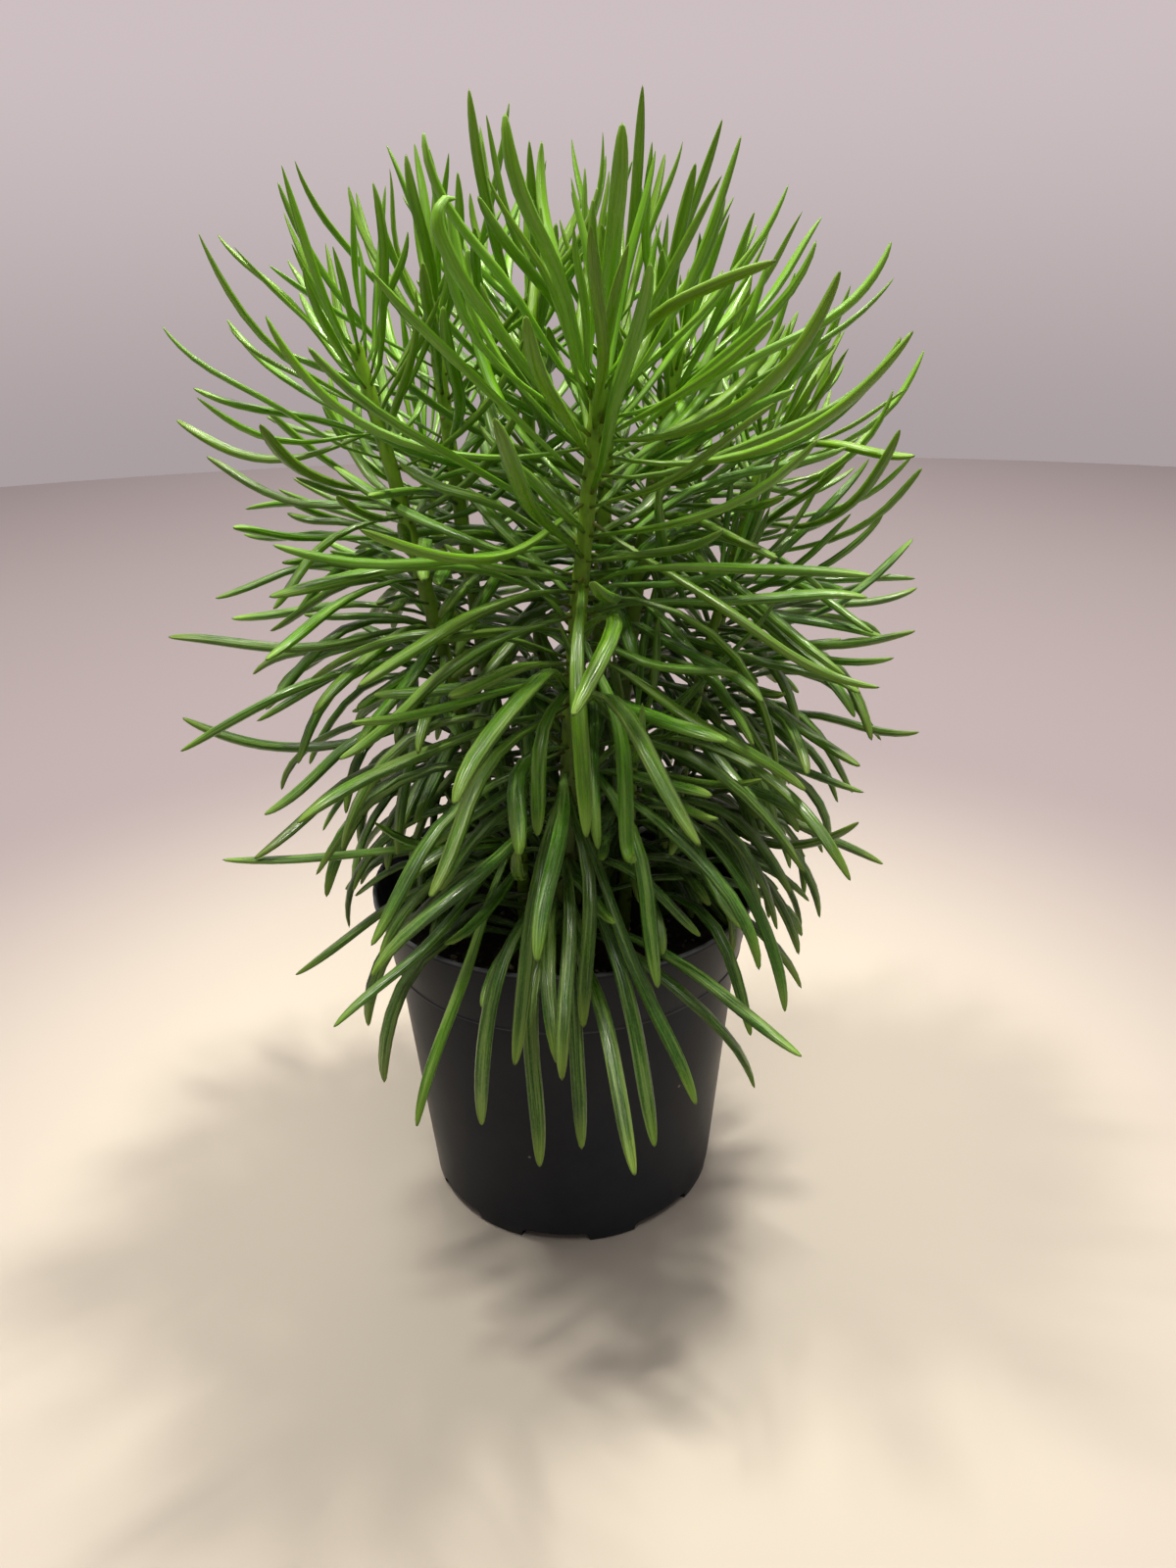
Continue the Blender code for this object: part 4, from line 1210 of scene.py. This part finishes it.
def build_camera():
    """The camera looks down at the plant from close by."""
    data = bpy.data.cameras.new("camera")
    data.lens = CAMERA_LENS
    data.clip_start = NEAREST_SEEN
    camera = put("camera", data)
    pitch, yaw, roll = (math.radians(angle) for angle in CAMERA_TURN)
    turn = Matrix.Rotation(-yaw, 4, "Z") @ Matrix.Rotation(math.pi / 2 - pitch, 4, "X")
    camera.matrix_world = Matrix.Translation(CAMERA_PLACE) @ turn @ Matrix.Rotation(roll, 4, "Z")
    bpy.context.scene.camera = camera


def build_lamps():
    """Soft square lamps that the camera doesn't see, each facing its own point."""
    settings = bpy.context.scene.senecio_stage
    for name, (place, target, size, share, colour) in LAMPS.items():
        data = bpy.data.lights.new(name, "AREA")
        data.shape = "SQUARE"
        data.size = size
        data.energy = settings.key_power * share
        data.color = linear(colour)[:3]
        lamp = put(name, data)
        lamp.visible_camera = False
        lamp.location = place
        lamp.rotation_euler = (Vector(target) - Vector(place)).to_track_quat("-Z", "Y").to_euler()


def build_sky():
    """A pale sky, soft and nearly even."""
    settings = bpy.context.scene.senecio_stage
    world = bpy.data.worlds.new("studio")
    world.use_nodes = True
    node = functools.partial(add_node, world.node_tree)
    sky = world.node_tree.nodes["Background"]
    sky.inputs["Color"].default_value = settings.sky_colour
    direction = node("SeparateXYZ", [node("TexCoord")["Generated"]])
    strength = settings.sky_strength
    for axis, *figures in SKY:
        share = node("MapRange", [direction[axis], *figures], **SMOOTH)[0]
        strength = node("Math", [share, strength], operation="MULTIPLY")[0]
    world.node_tree.links.new(strength, sky.inputs["Strength"])
    bpy.context.scene.world = world


def build_stage():
    """A flat pale floor, soft lamps, a pale sky and the camera."""
    bm = bmesh.new()
    bmesh.ops.create_circle(
        bm, cap_ends=True, segments=96, radius=bpy.context.scene.senecio_stage.floor_reach)
    finish(as_mesh(bm, "floor"), "floor", pale_paper())
    build_lamps()
    build_sky()
    bpy.context.scene.view_settings.view_transform = "Standard"
    build_camera()


# ---------------------------------------------------------------------------------------------
# Add-on

def colour_setting(name, code, description):
    """A colour that the user can change."""
    return bpy.props.FloatVectorProperty(
        name=name, description=description, default=linear(code), subtype="COLOR", size=4, min=0, max=1)


def length_setting(name, default, description):
    """A length that the user can change."""
    return bpy.props.FloatProperty(
        name=name, description=description, default=default, min=0, unit="LENGTH")


class SENECIO_PG_pot(bpy.types.PropertyGroup):
    """The pot's finish and its rounded edges."""

    colour: colour_setting("Colour", "25272b", "Colour of the plastic")
    lip_rounding: length_setting("Lip rounding", 0.0007, "Radius of the lip's outer edge")
    notch_rounding: length_setting("Notch rounding", 0.0030, "Radius of the notches' upper corners")


class SENECIO_PG_soil(bpy.types.PropertyGroup):
    """The soil's finish and its grit."""

    colour: colour_setting("Colour", "14100d", "Colour of the damp peat")
    grain_size: length_setting("Grain size", 0.0016, "Radius of the largest grain")
    grain_count: bpy.props.IntProperty(
        name="Grain count", description="How many grains lie on the soil", default=420, min=0)


class SENECIO_PG_shoots(bpy.types.PropertyGroup):
    """The stems' colours, swellings and scars."""

    foot_colour: colour_setting("Foot colour", "465e1a", "Colour of a stem near the soil")
    tip_colour: colour_setting("Tip colour", "7aa41e", "Colour of a stem at its top")
    swelling: length_setting("Swelling", 0.0005, "How far a stem swells at the foot of a leaf")
    scar_width: length_setting("Scar width", 0.0011, "Half the width of a fallen leaf's scar")


class SENECIO_PG_leaves(bpy.types.PropertyGroup):
    """The leaves' colours."""

    old_colour: colour_setting("Old colour", "26540a", "Colour of the lowest leaves")
    middle_colour: colour_setting("Middle colour", "4f8402", "Colour of the leaves half-way up")
    young_colour: colour_setting("Young colour", "6ca000", "Colour of the crown's leaves")


class SENECIO_PG_stage(bpy.types.PropertyGroup):
    """The floor, the sky and the lamps."""

    floor_colour: colour_setting("Floor colour", "a9a397", "Colour of the paper near the plant")
    # painted shade: the grey that the paper is given away from the plant, standing in for the lamps' falloff
    painted_falloff_colour: colour_setting("Far colour", "7c7476", "Colour of the paper away from the plant")
    floor_reach: length_setting("Floor reach", 2.5, "Radius of the floor")
    sky_colour: colour_setting("Sky colour", "d2c4c6", "Colour of the sky")
    sky_strength: bpy.props.FloatProperty(
        name="Sky strength", description="Brightness of the even light", default=0.95, min=0)
    key_power: bpy.props.FloatProperty(
        name="Key power", description="Power of the main lamp", default=65, min=0, unit="POWER")


class SENECIO_OT_pot(bpy.types.Operator):
    """Build the nursery pot"""

    bl_idname = "senecio.make_pot"
    bl_label = "Pot"

    def execute(self, context):
        build_pot()
        return {"FINISHED"}


class SENECIO_OT_soil(bpy.types.Operator):
    """Build the soil and its grit"""

    bl_idname = "senecio.make_soil"
    bl_label = "Soil"

    def execute(self, context):
        build_soil()
        return {"FINISHED"}


class SENECIO_OT_shoots(bpy.types.Operator):
    """Build the shoots with their crown leaves"""

    bl_idname = "senecio.make_shoots"
    bl_label = "Shoots"

    def execute(self, context):
        build_shoots()
        return {"FINISHED"}


class SENECIO_OT_leaves(bpy.types.Operator):
    """Build the leaves that shape the outline"""

    bl_idname = "senecio.make_leaves"
    bl_label = "Outline Leaves"

    def execute(self, context):
        build_leaves()
        return {"FINISHED"}


class SENECIO_OT_sprays(bpy.types.Operator):
    """Build the leaves between, a spray for each shoot"""

    bl_idname = "senecio.make_sprays"
    bl_label = "Leaf Sprays"

    def execute(self, context):
        build_sprays()
        return {"FINISHED"}


class SENECIO_OT_stage(bpy.types.Operator):
    """Build the floor, the lamps, the sky and the camera"""

    bl_idname = "senecio.make_stage"
    bl_label = "Stage"

    def execute(self, context):
        build_stage()
        return {"FINISHED"}


class SENECIO_PT_panel(bpy.types.Panel):
    """Lists the steps and their settings."""

    bl_idname = "SENECIO_PT_panel"
    bl_label = "Potted Senecio"
    bl_space_type = "VIEW_3D"
    bl_region_type = "UI"
    bl_category = "Senecio"

    def draw(self, context):
        for operator, settings in STEPS:
            box = self.layout.box()
            box.operator(operator.bl_idname)
            group = getattr(context.scene, settings, None) if settings else None
            for name in group.bl_rna.properties.keys() if group else ():
                if name not in ("rna_type", "name"):
                    box.prop(group, name)


STEPS = [
    (SENECIO_OT_pot, "senecio_pot"),
    (SENECIO_OT_soil, "senecio_soil"),
    (SENECIO_OT_shoots, "senecio_shoots"),
    (SENECIO_OT_leaves, "senecio_leaves"),
    (SENECIO_OT_sprays, None),
    (SENECIO_OT_stage, "senecio_stage"),
]
GROUPS = {
    "senecio_pot": SENECIO_PG_pot,
    "senecio_soil": SENECIO_PG_soil,
    "senecio_shoots": SENECIO_PG_shoots,
    "senecio_leaves": SENECIO_PG_leaves,
    "senecio_stage": SENECIO_PG_stage,
}


def register():
    """Registers the settings, the operators and the panel."""
    for name, group in GROUPS.items():
        bpy.utils.register_class(group)
        setattr(bpy.types.Scene, name, bpy.props.PointerProperty(type=group))
    for operator, _ in STEPS:
        bpy.utils.register_class(operator)
    bpy.utils.register_class(SENECIO_PT_panel)


def unregister():
    """Takes all of them away again."""
    bpy.utils.unregister_class(SENECIO_PT_panel)
    for operator, _ in reversed(STEPS):
        bpy.utils.unregister_class(operator)
    for name, group in GROUPS.items():
        delattr(bpy.types.Scene, name)
        bpy.utils.unregister_class(group)


def main():
    """Builds everything in order and writes the model's box and the new one."""
    register()
    bpy.ops.senecio.make_pot()
    bpy.ops.senecio.make_soil()
    bpy.ops.senecio.make_shoots()
    bpy.ops.senecio.make_leaves()
    bpy.ops.senecio.make_sprays()
    bpy.ops.senecio.make_stage()
    sizes = {
        "model": [list(corner) for corner in MODEL_BOX],
        "looks": [list(corner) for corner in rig.bounds()],
    }
    with open("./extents.json", "w") as file:
        json.dump(sizes, file)


if __name__ == "__main__":
    main()
